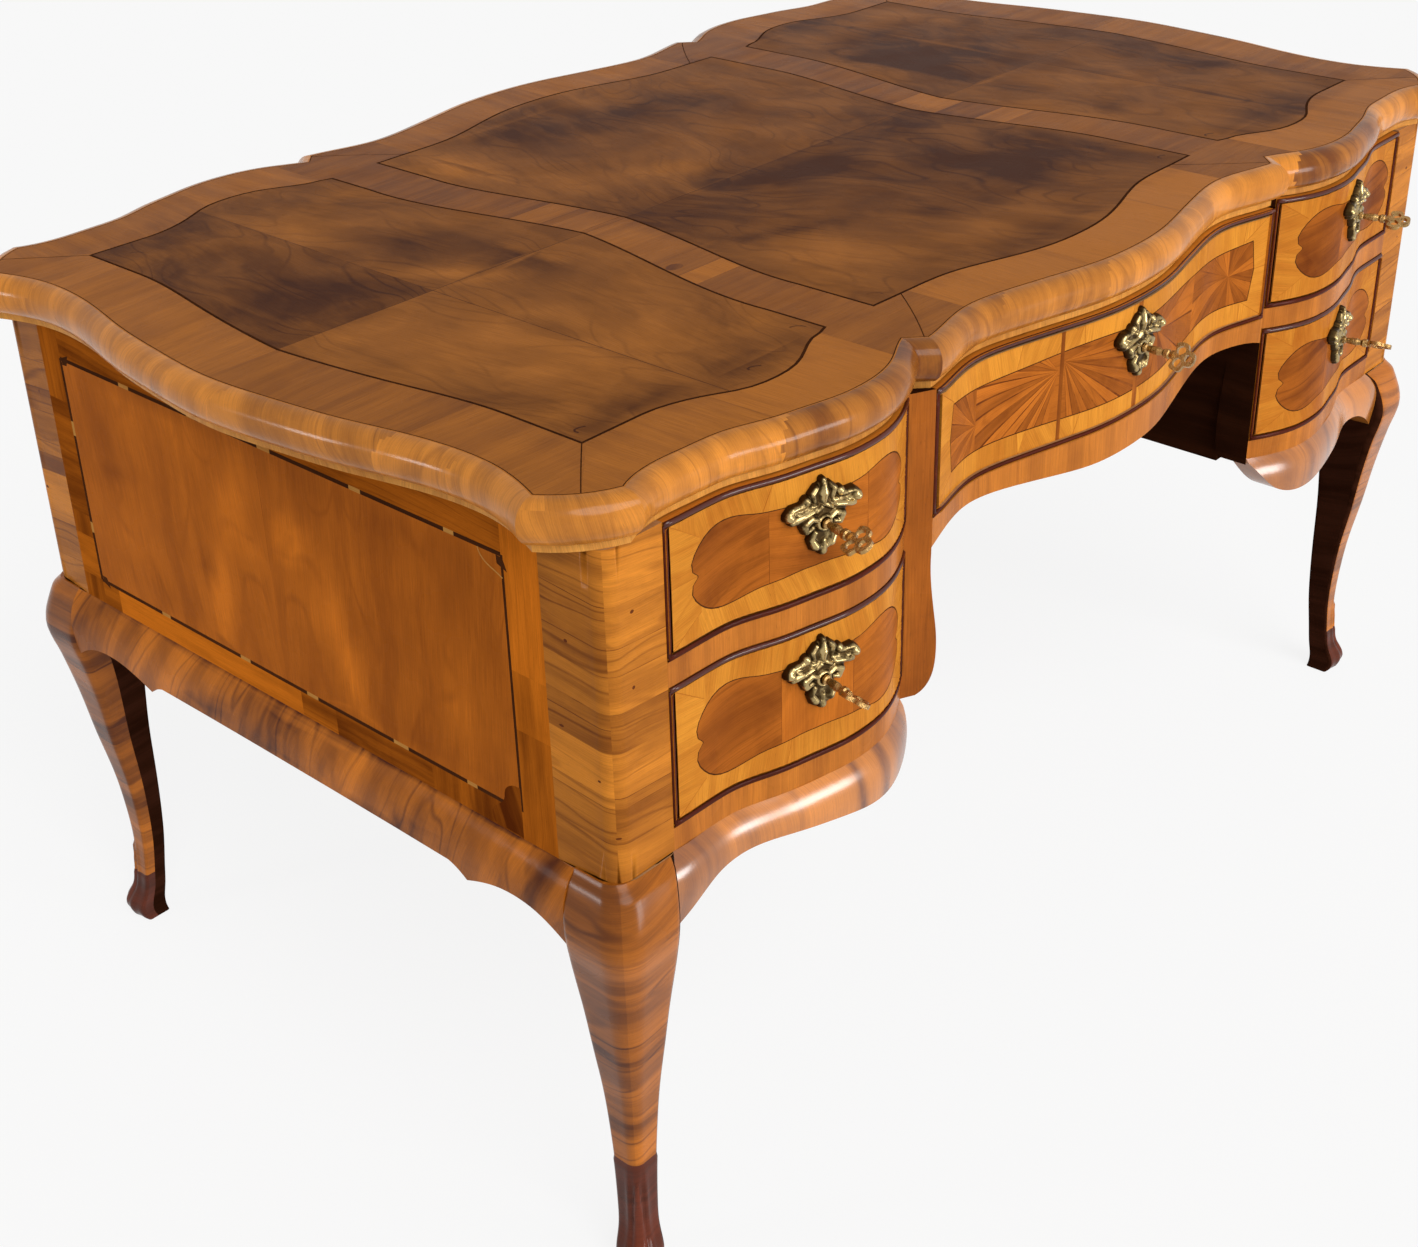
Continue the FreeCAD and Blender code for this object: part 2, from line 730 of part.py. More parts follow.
def padded_board(name, role, offset, sides, length):
    """Flat rectangular board: a sketch on an origin plane, padded."""
    body = doc.addObject("PartDesign::Body", name)
    outline = rectangle(body, name + "_outline", role, offset, sides)
    pad = body.newObject("PartDesign::Pad", name + "_pad")
    pad.Profile = outline
    pad.setExpression("Length", length)
    finish_bound(body, name)


def make_side_panel(name, offset):
    sides = ("-" + POST_BACK, POST_BACK, "Sizes.apron_seam_height", TOP_UNDERSIDE)
    padded_board(name, "YZ_Plane", offset, sides, "Sizes.panel_thickness")


def make_pedestal_floor(name, x_low, x_high):
    sides = (x_low, x_high, "-" + POST_BACK, POST_BACK)
    padded_board(name, "XY_Plane", "Sizes.apron_seam_height", sides, "Sizes.floor_thickness")


def make_kneehole_wall(name, x_low, x_high):
    sides = (x_low, x_high, "-" + STILE_BACK, CASE_FRONT)
    height = "%s - Sizes.apron_seam_height" % TOP_UNDERSIDE
    padded_board(name, "XY_Plane", "Sizes.apron_seam_height", sides, height)


# Heights of a drawer opening, as expressions
UPPER_OPENING = (UPPER_OPENING_BASE, TOP_UNDERSIDE)
LOWER_OPENING = (LOWER_OPENING_BASE, MID_RAIL_BASE)


def runner_top(opening):
    return "(%s + Sizes.box_bottom_rise - Sizes.runner_clearance)" % opening[0]


def bound_group(name, blocks):
    """One sub-part of several separate blocks that are bound to the sheet."""
    group = doc.addObject("Part::Compound", name)
    group.Links = blocks
    finish_bound(group, name)


def runner_blocks(name, near, far, side, opening, low):
    """Runner under one side of a drawer and the guide beside it.

    near and far are the runner's edges across the desk, near the drawer's middle first.
    side is the drawer's outer edge there, where the guide begins.
    """
    top = runner_top(opening)
    y = ("-" + POST_BACK, POST_BACK)
    order = (near, far) if measure(near) < measure(far) else (far, near)
    guide = (side, far) if measure(side) < measure(far) else (far, side)
    high = "(%s + Sizes.runner_height)" % top
    return [
        bound_block(name + "_bearer", order, y, (low, top)),
        bound_block(name + "_guide", guide, y, (top, high)),
    ]


def make_runners():
    blocks = []
    for side_name, sign in (("right", ""), ("left", "-")):
        outer_side = "%s(%s - %s + Sizes.runner_clearance)" % (sign, POST_INNER, BOX_SIDE_GAP)
        outer_near = "%s(%s - Sizes.runner_width)" % (sign, POST_INNER)
        inner_side = "%s(%s + %s - Sizes.runner_clearance)" % (sign, STILE_OUTER, BOX_SIDE_GAP)
        inner_near = "%s(%s + Sizes.runner_width)" % (sign, STILE_OUTER)
        for level, opening in (("upper", UPPER_OPENING), ("lower", LOWER_OPENING)):
            low = FLOOR_TOP if level == "lower" else (
                "(%s - Sizes.runner_height)" % runner_top(opening)
            )
            stem = "%s_%s" % (level, side_name)
            blocks += runner_blocks(
                stem + "_outer", outer_near, sign + PANEL_INNER, outer_side, opening, low
            )
            blocks += runner_blocks(
                stem + "_inner", inner_near, sign + STILE_OUTER, inner_side, opening, low
            )
    bound_group("pedestal_drawer_runners", blocks)
    blocks = []
    for side_name, sign in (("right", ""), ("left", "-")):
        side = "%s(%s - %s + Sizes.runner_clearance)" % (sign, CENTRE_EDGE, BOX_SIDE_GAP)
        near = "%s(%s - Sizes.runner_width)" % (sign, CENTRE_EDGE)
        low = "(%s - Sizes.runner_height)" % runner_top(UPPER_OPENING)
        blocks += runner_blocks(
            "centre_" + side_name, near, sign + CENTRE_EDGE, side, UPPER_OPENING, low
        )
    bound_group("centre_drawer_runners", blocks)


# Rounding of a bead, as a share of how far it stands proud
BEAD_ROUND_SHARE = 0.9


def rounded_bead(strip):
    """Strip with its two foremost edges rounded into a bead."""
    edges = sorted(strip.Edges, key=lambda edge: edge.CenterOfMass.y)[:2]
    return strip.makeFillet(s.bead_proud * BEAD_ROUND_SHARE, edges)


def drawer_front(curve, x_low, x_high, z_low, z_high, recess):
    """Curved board with four cock beads let in around its edges."""
    bead = s.bead_width
    thickness = s.front_thickness
    board = swept_slab(
        curve, x_low + bead, x_high - bead, 0, thickness, z_low + bead, z_high - bead
    )
    low = swept_slab(curve, x_low, x_high, -s.bead_proud, thickness, z_low, z_low + bead)
    high = swept_slab(curve, x_low, x_high, -s.bead_proud, thickness, z_high - bead, z_high)
    solids = [board.cut(recess), rounded_bead(low), rounded_bead(high).cut(recess)]
    for x in (x_low, x_high - bead):
        strip = swept_slab(
            curve, x, x + bead, -s.bead_proud, thickness, z_low + bead, z_high - bead
        )
        solids.append(rounded_bead(strip))
    return Part.makeCompound(solids)


def front_cutter(curve, x_low, x_high):
    """All the space from a drawer front's rear face outwards."""
    outwards = -s.case_depth
    return swept_slab(curve, x_low, x_high, outwards, s.front_thickness, 0, s.desk_height)


def make_drawer_box(name, x_low, x_high, opening, cutter):
    """Two sides, a back and a bottom, made as bound blocks and trimmed to the curved front."""
    side = "Sizes.box_side_thickness"
    left = "(%s + %s)" % (x_low, BOX_SIDE_GAP)
    right = "(%s - %s)" % (x_high, BOX_SIDE_GAP)
    front = "-(%s + max(Sizes.pedestal_swell; Sizes.centre_swell))" % CASE_FRONT
    low = "(%s + Sizes.box_bottom_rise)" % opening[0]
    high = "(%s - Sizes.box_top_drop)" % opening[1]
    bottom_top = "(%s + Sizes.box_bottom_thickness)" % low
    inner = ("(%s + %s)" % (left, side), "(%s - %s)" % (right, side))
    back_front = "(%s - %s)" % (DRAWER_END, side)
    blocks = (
        ("left", (left, inner[0]), (front, DRAWER_END), (low, high)),
        ("right", (inner[1], right), (front, DRAWER_END), (low, high)),
        ("back", inner, (back_front, DRAWER_END), (low, high)),
        ("bottom", inner, (front, back_front), (low, bottom_top)),
    )
    trim = doc.addObject("Part::Feature", name + "_front_space")
    trim.Shape = cutter
    parts = []
    for tag, x, y, z in blocks:
        block_part = bound_block("%s_%s_block" % (name, tag), x, y, z)
        if tag == "back":
            parts.append(block_part)
            continue
        cut = doc.addObject("Part::Cut", "%s_%s" % (name, tag))
        cut.Base = block_part
        cut.Tool = trim
        parts.append(cut)
    bound_group(name, parts)


# Escutcheon outline, right half: shares of half the width, and of the height above the keyhole
PLATE_OUTLINE_SHARES = (
    (0.00, 0.58), (0.16, 0.57), (0.30, 0.47), (0.37, 0.37), (0.50, 0.41), (0.63, 0.36),
    (0.68, 0.26), (0.86, 0.31), (1.00, 0.21), (0.95, 0.09), (0.72, 0.07), (0.56, -0.02),
    (0.54, -0.11), (0.36, -0.14), (0.34, -0.24), (0.22, -0.36), (0.00, -0.42),
)
PLATE_KNOB_SHARES = (
    (0.84, 0.19), (-0.84, 0.19), (0.50, 0.31), (-0.50, 0.31), (0.00, 0.45),
    (0.22, -0.26), (-0.22, -0.26),
)
PLATE_BOSS_SHARE = 2.2


def along_y(radius, y_low, y_high):
    """Round bar along Y about the local axis of a keyhole."""
    return Part.makeCylinder(radius, y_high - y_low, Vector(0, y_low, 0), Vector(0, 1, 0))


def plate_shape():
    """Cast escutcheon about its keyhole, thick enough behind to be bedded on the front."""
    half_width = s.plate_width / 2
    right = [Vector(half_width * x, 0, s.plate_height * z) for x, z in PLATE_OUTLINE_SHARES]
    left = [Vector(-point.x, 0, point.z) for point in reversed(right[1:-1])]
    outline = Part.BSplineCurve()
    outline.interpolate(right + left, PeriodicFlag=True)
    face = Part.Face(Part.Wire(outline.toShape()))
    plate = face.extrude(Vector(0, s.plate_thickness + s.plate_bedding, 0))
    plate.translate(Vector(0, -s.plate_thickness, 0))
    for x, z in PLATE_KNOB_SHARES:
        knob = Part.makeSphere(
            s.knob_radius, Vector(half_width * x, -s.plate_thickness, s.plate_height * z)
        )
        plate = plate.fuse(knob)
    boss_radius = s.shank_radius * PLATE_BOSS_SHARE
    plate = plate.fuse(along_y(boss_radius, -s.plate_thickness - s.bead_proud, 0))
    hole = along_y(s.shank_radius + s.shank_clearance, -s.case_depth, s.case_depth)
    return plate.cut(hole)


# Key shank profile: share of the projection, radius as a share of the collar's
SHANK_SHARES = (
    (0.12, 0.62), (0.14, 0.95), (0.18, 0.95), (0.20, 0.62), (0.30, 0.85), (0.38, 0.90),
    (0.46, 0.62), (0.50, 1.00), (0.56, 1.00), (0.58, 0.70), (0.64, 0.80),
)
# Bow outline, right half: share of half the width, share of the length from its foot
BOW_OUTLINE_SHARES = (
    (0.00, 0.00), (0.28, 0.02), (0.34, 0.14), (0.72, 0.10), (1.00, 0.34), (0.86, 0.60),
    (0.58, 0.66), (0.52, 0.84), (0.26, 0.98), (0.00, 1.00),
)
BOW_SIDE_HOLE_SHARES = ((0.20, 0.26), (0.66, 0.26), (0.74, 0.42), (0.46, 0.56), (0.20, 0.46))
BOW_TOP_HOLE_SHARES = ((0.00, 0.60), (0.26, 0.72), (0.00, 0.88), (-0.26, 0.72))


def bow_face(points):
    outline = Part.BSplineCurve()
    outline.interpolate(points, PeriodicFlag=True)
    return Part.Face(Part.Wire(outline.toShape()))


def bow_shape():
    """Flat pierced bow in the plane of Y and Z, outwards from the shank."""
    foot = s.bow_length - s.key_projection
    half = s.bow_width / 2

    def at(z_share, length_share):
        return Vector(-s.bow_thickness / 2, foot - s.bow_length * length_share, half * z_share)

    thickness = Vector(s.bow_thickness, 0, 0)
    right = [at(*shares) for shares in BOW_OUTLINE_SHARES]
    left = [at(-z, length) for z, length in reversed(BOW_OUTLINE_SHARES[1:-1])]
    bow = bow_face(right + left).extrude(thickness)
    for sign in (1, -1):
        hole = [at(z * sign, length) for z, length in BOW_SIDE_HOLE_SHARES]
        bow = bow.cut(bow_face(hole).extrude(thickness))
    hole = [at(z, length) for z, length in BOW_TOP_HOLE_SHARES]
    return bow.cut(bow_face(hole).extrude(thickness))


def key_shape(bit_low, bit_high):
    """Key about its own axis: plain shank in the lock, baluster shank, bow and bit."""
    inner = s.shank_radius
    points = [Vector(0, bit_high, 0), Vector(inner, bit_high, 0)]
    points.append(Vector(inner, -s.key_projection * SHANK_SHARES[0][0], 0))
    for along, out in SHANK_SHARES[1:]:
        points.append(Vector(s.collar_radius * out, -s.key_projection * along, 0))
    points.append(Vector(0, points[-1].y, 0))
    wire = Part.makePolygon(points + points[:1])
    shank = Part.Face(wire).revolve(Vector(0, 0, 0), Vector(0, 1, 0), 360)
    half = s.bit_thickness / 2
    bit = block(-half, half, bit_low, bit_high, 0, inner + s.bit_height)
    return shank.fuse(bow_shape()).fuse(bit)


def make_lock_case(name, height_above, place):
    """Flat steel case let into the rear of a drawer front, open towards the wood."""
    body = doc.addObject("PartDesign::Body", name)
    back = "-Sizes.front_thickness"
    wall = "Sizes.lock_wall"
    half = "Sizes.lock_width / 2"
    outer = ("-" + half, half, "-Sizes.lock_below_keyhole", height_above)
    inner = (
        "%s - %s" % (wall, half), "%s - %s" % (half, wall),
        "%s - Sizes.lock_below_keyhole" % wall, "%s - %s" % (height_above, wall),
    )
    case = body.newObject("PartDesign::Pad", name + "_pad")
    case.Profile = rectangle(body, name + "_outline", "XZ_Plane", back, outer)
    case.setExpression("Length", "Sizes.lock_thickness")
    front = "Sizes.lock_thickness - Sizes.front_thickness"
    hollow = body.newObject("PartDesign::Pocket", name + "_hollow")
    hollow.Profile = rectangle(body, name + "_inside", "XZ_Plane", front, inner)
    hollow.setExpression("Length", "Sizes.lock_thickness - Sizes.lock_wall")
    slot_half = "(Sizes.bolt_width / 2 + Sizes.bolt_clearance)"
    rear = "(Sizes.front_thickness - Sizes.lock_wall)"
    depth = "(Sizes.bolt_thickness + 2 * Sizes.bolt_clearance)"
    slot = body.newObject("PartDesign::Pocket", name + "_slot")
    slot.Profile = rectangle(
        body, name + "_slot_outline", "XY_Plane", height_above,
        ("-" + slot_half, slot_half, "%s - %s" % (rear, depth), rear),
    )
    slot.setExpression("Length", "2 * Sizes.lock_wall")
    finish_bound(body, name, place)


def make_lock_bolt(name, height_above, place):
    """Plate that slides up out of the lock case."""
    body = doc.addObject("PartDesign::Body", name)
    half = "Sizes.bolt_width / 2"
    rear = "Sizes.lock_wall + Sizes.bolt_clearance - Sizes.front_thickness"
    sides = (
        "-" + half, half, "-Sizes.bolt_throw / 2", "%s - Sizes.bolt_clearance" % height_above,
    )
    pad = body.newObject("PartDesign::Pad", name + "_pad")
    pad.Profile = rectangle(body, name + "_outline", "XZ_Plane", rear, sides)
    pad.setExpression("Length", "Sizes.bolt_thickness")
    finish_bound(body, name, place)


def lock_place(curve, x, z):
    """Keyhole's place on a curved front, turned square to the surface there."""
    parameter = place_on(curve, x)
    way = curve.tangent(parameter)[0]
    point = curve.value(parameter)
    turn = Rotation(Vector(0, 0, 1), math.degrees(math.atan2(way.y, way.x)))
    return Placement(Vector(point.x, point.y, z), turn)


def placed(shape, place):
    moved = shape.copy()
    moved.Placement = place.multiply(shape.Placement)
    return moved


def lock_recess(height_above):
    """Space in the rear of a drawer front for its lock, and the keyhole through the front."""
    half = s.lock_width / 2
    pocket = block(
        -half, half, s.front_thickness - s.lock_thickness, s.case_depth / 2,
        -s.lock_below_keyhole, height_above + s.bead_width,
    )
    hole = along_y(s.shank_radius + s.shank_clearance, -s.case_depth, s.front_thickness)
    return pocket.fuse(hole)


def mortise_shape(height_above):
    """Hole above a drawer for its thrown bolt."""
    half = s.bolt_width / 2 + s.mortise_clearance
    rear = s.front_thickness - s.lock_wall + s.mortise_clearance
    front = rear - s.bolt_thickness - 2 * s.mortise_clearance
    return block(-half, half, front, rear, height_above, height_above + s.bolt_throw)


# Drawers: name, where, opening and how far the key is turned in its rest place
DRAWERS = (
    ("upper_left_drawer", "left", UPPER_OPENING, 120),
    ("lower_left_drawer", "left", LOWER_OPENING, 54),
    ("centre_drawer", "centre", UPPER_OPENING, 144),
    ("upper_right_drawer", "right", UPPER_OPENING, 110),
    ("lower_right_drawer", "right", LOWER_OPENING, 60),
)
BEDS = {
    "left": ("-" + POST_INNER, "-" + STILE_OUTER),
    "centre": ("-" + CENTRE_EDGE, CENTRE_EDGE),
    "right": (STILE_OUTER, POST_INNER),
}
left_curve = spline_through(
    [Vector(-point.x, point.y, 0) for point in pedestal_points()]
)
CURVES = {"left": left_curve, "centre": centre_curve, "right": pedestal_curve}
pedestal_lock_x = (post_inner + stile_outer) / 2 - s.lock_offset
LOCK_X = {"left": -pedestal_lock_x, "centre": 0, "right": pedestal_lock_x}


def make_drawer(name, side, opening, turn):
    curve = CURVES[side]
    x_low, x_high = (measure(edge) for edge in BEDS[side])
    gap = s.drawer_gap
    z_low = measure(opening[0]) + gap
    z_high = measure(opening[1]) - gap
    key_z = z_high - s.keyhole_drop
    place = lock_place(curve, LOCK_X[side], key_z)
    height_above = "Sizes.keyhole_drop"
    recess = placed(lock_recess(s.keyhole_drop), place)
    front = drawer_front(curve, x_low + gap, x_high - gap, z_low, z_high, recess)
    piece(name + "_front", front)
    make_drawer_box(
        name + "_box", BEDS[side][0], BEDS[side][1], opening,
        front_cutter(curve, x_low, x_high),
    )
    plate = placed(plate_shape(), place)
    for solid in front.Solids:
        plate = plate.cut(solid)
    piece(name + "_escutcheon", plate)
    make_lock_case(name + "_lock_case", height_above, place)
    make_lock_bolt(name + "_lock_bolt", height_above, place)
    rear = s.front_thickness - s.lock_wall - 2 * s.bolt_clearance - s.bolt_thickness
    bit_high = rear - s.bolt_clearance
    bit_low = s.front_thickness - s.lock_thickness + s.bolt_clearance
    rest = Placement(Vector(0, 0, 0), Rotation(Vector(0, -1, 0), turn))
    piece(name + "_key", placed(key_shape(bit_low, bit_high), place.multiply(rest)))


def mortise_for(side, opening):
    z_high = measure(opening[1]) - s.drawer_gap
    place = lock_place(CURVES[side], LOCK_X[side], z_high - s.keyhole_drop)
    return placed(mortise_shape(s.keyhole_drop), place)


make_top([mortise_for(side, UPPER_OPENING) for side in ("left", "centre", "right")])
leg_shape = make_legs()
make_side_panel("side_panel_right", PANEL_INNER)
make_side_panel("side_panel_left", "-" + CASE_SIDE)
make_side_aprons(leg_shape)
make_front_aprons(leg_shape)
make_kneehole_apron()
make_kneehole_stiles()
make_kneehole_wall("kneehole_wall_right", CENTRE_EDGE, STILE_OUTER)
make_kneehole_wall("kneehole_wall_left", "-" + STILE_OUTER, "-" + CENTRE_EDGE)
make_back_panels()
make_rails(mortise_for("right", LOWER_OPENING))
make_pedestal_floor("pedestal_floor_right", STILE_OUTER, PANEL_INNER)
make_pedestal_floor("pedestal_floor_left", "-" + PANEL_INNER, "-" + STILE_OUTER)
make_runners()
for drawer in DRAWERS:
    make_drawer(*drawer)

doc.recompute()
for part in doc.Objects:
    if "Invalid" in part.State or "Error" in part.State:
        raise RuntimeError(part.Label + " was not built")
for part in pieces:
    if part.Shape.isNull() or not part.Shape.isValid():
        raise RuntimeError(part.Label + " has no valid shape")
os.makedirs("parts", exist_ok=True)
for part in pieces:
    part.Shape.exportStep(os.path.join("parts", part.Label + ".step"))
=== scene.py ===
import math
import random

import bpy
import numpy as np
from bpy.props import FloatProperty, FloatVectorProperty, PointerProperty
from mathutils import Matrix, Vector
from mathutils.geometry import delaunay_2d_cdt


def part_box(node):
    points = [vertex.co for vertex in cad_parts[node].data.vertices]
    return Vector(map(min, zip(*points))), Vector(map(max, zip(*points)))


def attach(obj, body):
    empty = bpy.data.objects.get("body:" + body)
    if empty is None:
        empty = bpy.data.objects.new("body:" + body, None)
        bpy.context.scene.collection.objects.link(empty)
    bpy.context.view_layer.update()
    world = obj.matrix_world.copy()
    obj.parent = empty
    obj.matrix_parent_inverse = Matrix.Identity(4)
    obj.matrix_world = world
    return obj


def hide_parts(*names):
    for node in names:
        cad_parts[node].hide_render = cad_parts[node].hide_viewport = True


bl_info = {
    "name": "Serpentine writing desk",
    "version": (1, 0, 0),
    "blender": (4, 5, 0),
    "location": "3D View > Sidebar > Desk",
    "description": "Veneer, carving, brass and stage of a serpentine writing desk",
    "category": "Add Mesh",
}

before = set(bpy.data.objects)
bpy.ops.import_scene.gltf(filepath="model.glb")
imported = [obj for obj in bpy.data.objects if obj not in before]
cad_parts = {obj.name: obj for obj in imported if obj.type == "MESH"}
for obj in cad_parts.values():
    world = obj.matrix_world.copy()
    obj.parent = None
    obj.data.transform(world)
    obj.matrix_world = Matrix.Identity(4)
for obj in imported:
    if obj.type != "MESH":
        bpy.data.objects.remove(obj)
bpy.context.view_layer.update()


def size(name, value, words):
    return FloatProperty(name=name, description=words, default=value, unit="LENGTH", precision=4)


def colour(name, value, words):
    return FloatVectorProperty(name=name, description=words, default=value, size=3,
                               subtype="COLOR", min=0.0, max=1.0)


class DeskSizes(bpy.types.PropertyGroup):
    """Sizes of the desk, those of the solids that the pieces are fitted to."""

    middle_y: size("Middle of the case", 0.0285, "Distance of the case's middle behind the origin")
    case_side: size("Half width", 0.691, "From the middle to the side panels")
    case_front: size("Half depth", 0.408, "From the middle to the face of the posts")
    post_face: size("Post face", 0.069, "Width of a corner post on the front")
    post_side: size("Post side", 0.065, "Width of a corner post on the side")
    centre_edge: size("Half kneehole", 0.297, "From the middle to the kneehole stiles")
    stile_width: size("Stile width", 0.025, "Width of a kneehole stile")
    pedestal_swell: size("Pedestal swell", 0.033, "How far a pedestal front swells out")
    centre_swell: size("Centre swell", 0.035, "How far the middle swells out")
    top_height: size("Height", 0.795, "Height of the writing surface")
    underside: size("Underside", 0.75, "Height of the underside of the top")
    seam: size("Seam", 0.446, "Height of the seam over the aprons")
    crease_setback: size("Crease setback", 0.009, "Flat top's edge behind the fronts")
    side_swell: size("Side swell", 0.042, "How far the top swells out at the sides")
    nose_overhang: size("Nose overhang", 0.017, "How far the rounded edge stands out")
    nose_height: size("Nose height", 0.039, "Height of the rounded edge")
    nose_fillet: size("Nose fillet", 0.003, "Width of the fillet below the rounded edge")
    string_width: size("String width", 0.0028, "Width of the dark lines in the veneer")
    bead_width: size("Bead width", 0.0055, "Width of the cock beads")
    bead_proud: size("Bead proud", 0.0025, "How far the cock beads stand out")
    drawer_gap: size("Drawer gap", 0.0015, "Gap around each drawer front")
    lower_opening: size("Lower opening", 0.468, "Height of the lower opening's base")
    mid_rail: size("Middle rail", 0.603, "Height of the middle rail's base")
    upper_opening: size("Upper opening", 0.626, "Height of the upper opening's base")


class DeskColours(bpy.types.PropertyGroup):
    """Colours of the woods and metals."""

    gold: colour("Golden walnut", (0.595, 0.236, 0.027), "Light borders of the drawer fronts")
    honey: colour("Honey walnut", (0.43, 0.165, 0.036), "Light cross-grained veneer")
    amber: colour("Amber walnut", (0.3, 0.092, 0.018), "Middle brown veneer")
    umber: colour("Umber walnut", (0.15, 0.046, 0.014), "Dark stripes of the veneer")
    field_light: colour("Light figure", (0.4, 0.14, 0.026), "Light clouds of the top fields")
    field_dark: colour("Dark figure", (0.07, 0.02, 0.007), "Dark clouds of the top fields")
    band: colour("Cross band", (0.43, 0.145, 0.022), "Bands of the top")
    string: colour("Dark string", (0.07, 0.022, 0.007), "Dark lines in the veneer")
    bead: colour("Bead", (0.085, 0.014, 0.005), "Dark red beads around the drawers")
    # The legs' inner faces get this near-black colour, painted shade of the faces that lie under
    # the case
    inner: colour("Shaded inside", (0.04, 0.012, 0.006), "Dark inner faces")
    hoof: colour("Hoof", (0.11, 0.022, 0.009), "Carved feet")
    timber: colour("Plain timber", (0.42, 0.235, 0.105), "Unpolished wood inside")
    brass: colour("Brass", (0.45, 0.33, 0.145), "Key plates and keys")
    steel: colour("Steel", (0.42, 0.41, 0.39), "Locks")


def sizes():
    return bpy.context.scene.desk_sizes


def colours():
    return bpy.context.scene.desk_colours


# Curves


def run_length(points):
    """Distance along a line of points, from the first one to each."""
    steps = np.linalg.norm(np.diff(points, axis=0), axis=1)
    return np.concatenate(([0.0], np.cumsum(steps)))


def unit(rows):
    """Rows of a table scaled to length one."""
    return rows / np.linalg.norm(rows, axis=1, keepdims=True)


def end_slope(knots, points):
    """Slope at the first of up to four points, of the polynomial through them."""
    count = min(4, len(knots))
    total = np.zeros(points.shape[1])
    for i in range(count):
        others = [j for j in range(count) if j != i]
        below = np.prod([knots[i] - knots[j] for j in others])
        above = sum(np.prod([knots[0] - knots[j] for j in others if j != skip])
                    for skip in others)
        total = total + points[i] * above / below
    return total


class Curve:
    """Smooth curve through points, read by its share of the chord length."""

    def __init__(self, points):
        self.points = np.array(points, float)
        self.knots = run_length(self.points)
        steps = np.diff(self.knots)
        count = len(self.knots)
        matrix = np.eye(count)
        right = np.zeros_like(self.points)
        right[0] = end_slope(self.knots, self.points)
        right[-1] = end_slope(self.knots[::-1], self.points[::-1])
        for i in range(1, count - 1):
            before, after = steps[i - 1], steps[i]
            matrix[i, i - 1 : i + 2] = (after, 2 * (before + after), before)
            right[i] = 3 * (after * (self.points[i] - self.points[i - 1]) / before
                            + before * (self.points[i + 1] - self.points[i]) / after)
        self.slopes = np.linalg.solve(matrix, right)

    def at(self, shares):
        """Points at shares from 0 to 1 of the chord length."""
        reach = np.atleast_1d(np.asarray(shares, float)) * self.knots[-1]
        index = np.clip(np.searchsorted(self.knots, reach) - 1, 0, len(self.knots) - 2)
        step = (self.knots[index + 1] - self.knots[index])[:, None]
        t = ((reach - self.knots[index])[:, None]) / step
        return ((2 * t**3 - 3 * t**2 + 1) * self.points[index]
                + (t**3 - 2 * t**2 + t) * step * self.slopes[index]
                + (3 * t**2 - 2 * t**3) * self.points[index + 1]
                + (t**3 - t**2) * step * self.slopes[index + 1])

    def sample(self, step):
        """Evenly spaced points, about step apart, ends included."""
        fine = self.at(np.linspace(0, 1, 600))
        reach = run_length(fine)
        wanted = np.linspace(0, reach[-1], max(2, int(round(reach[-1] / step)) + 1))
        return np.stack([np.interp(wanted, reach, column) for column in fine.T], 1)


# Plan of the fronts and sides, the shares that the solids have
PEDESTAL_PLAN_SHARES = (
    (0.0, 0.0), (0.14, 0.03), (0.25, 0.11), (0.39, 0.51), (0.5, 0.74),
    (0.61, 0.95), (0.7, 1.0), (0.81, 0.89), (0.9, 0.61), (1.0, 0.12),
)
CENTRE_PLAN_SHARES = (
    (0.0, 1.0), (0.2, 0.87), (0.36, 0.57), (0.51, 0.27), (0.64, 0.05),
    (0.72, 0.0), (0.8, 0.07), (0.88, 0.23), (1.0, 0.46),
)
SIDE_PLAN_SHARES = (
    (0.0, 1.0), (0.22, 0.84), (0.41, 0.6), (0.59, 0.26), (0.74, 0.1),
    (0.85, 0.14), (0.93, 0.3), (1.0, 0.52),
)
CORNER_FLARE_SHARES = ((0.5, 0.3), (1.0, 1.0))
CORNER_FLARE = 0.01
CORNER_FRONT_RUN = 0.038
CORNER_SIDE_RUN = 0.023
CORNER_BULGE = 0.006
NOTCH_WIDTH = 0.016


def pedestal_points():
    """Front plan of the right pedestal from the post to the stile, about the case's middle."""
    s = sizes()
    inner = s.centre_edge + s.stile_width
    outer = s.case_side - s.post_face
    return [(outer - share * (outer - inner), -s.case_front - s.pedestal_swell * swell)
            for share, swell in PEDESTAL_PLAN_SHARES]


def centre_points():
    """Front plan between the stiles, from the left to the right."""
    s = sizes()
    right = [(s.centre_edge * share, -s.case_front - s.centre_swell * swell)
             for share, swell in CENTRE_PLAN_SHARES]
    return [(-x, y) for x, y in reversed(right[1:])] + right


class Front:
    """Plan of a curved front: how far out it is, and its run, at any distance across."""

    def __init__(self, points):
        curve = Curve(points)
        self.table = curve.at(np.linspace(0, 1, 3001))
        if self.table[0, 0] > self.table[-1, 0]:
            self.table = self.table[::-1]
        self.reach = run_length(self.table)
        self.slope = np.gradient(self.table[:, 1], self.table[:, 0])

    def y(self, x):
        return np.interp(x, self.table[:, 0], self.table[:, 1])

    def run(self, x):
        return np.interp(x, self.table[:, 0], self.reach)

    def way(self, x):
        """Slope of the plan."""
        return np.interp(x, self.table[:, 0], self.slope)


# Mesh building


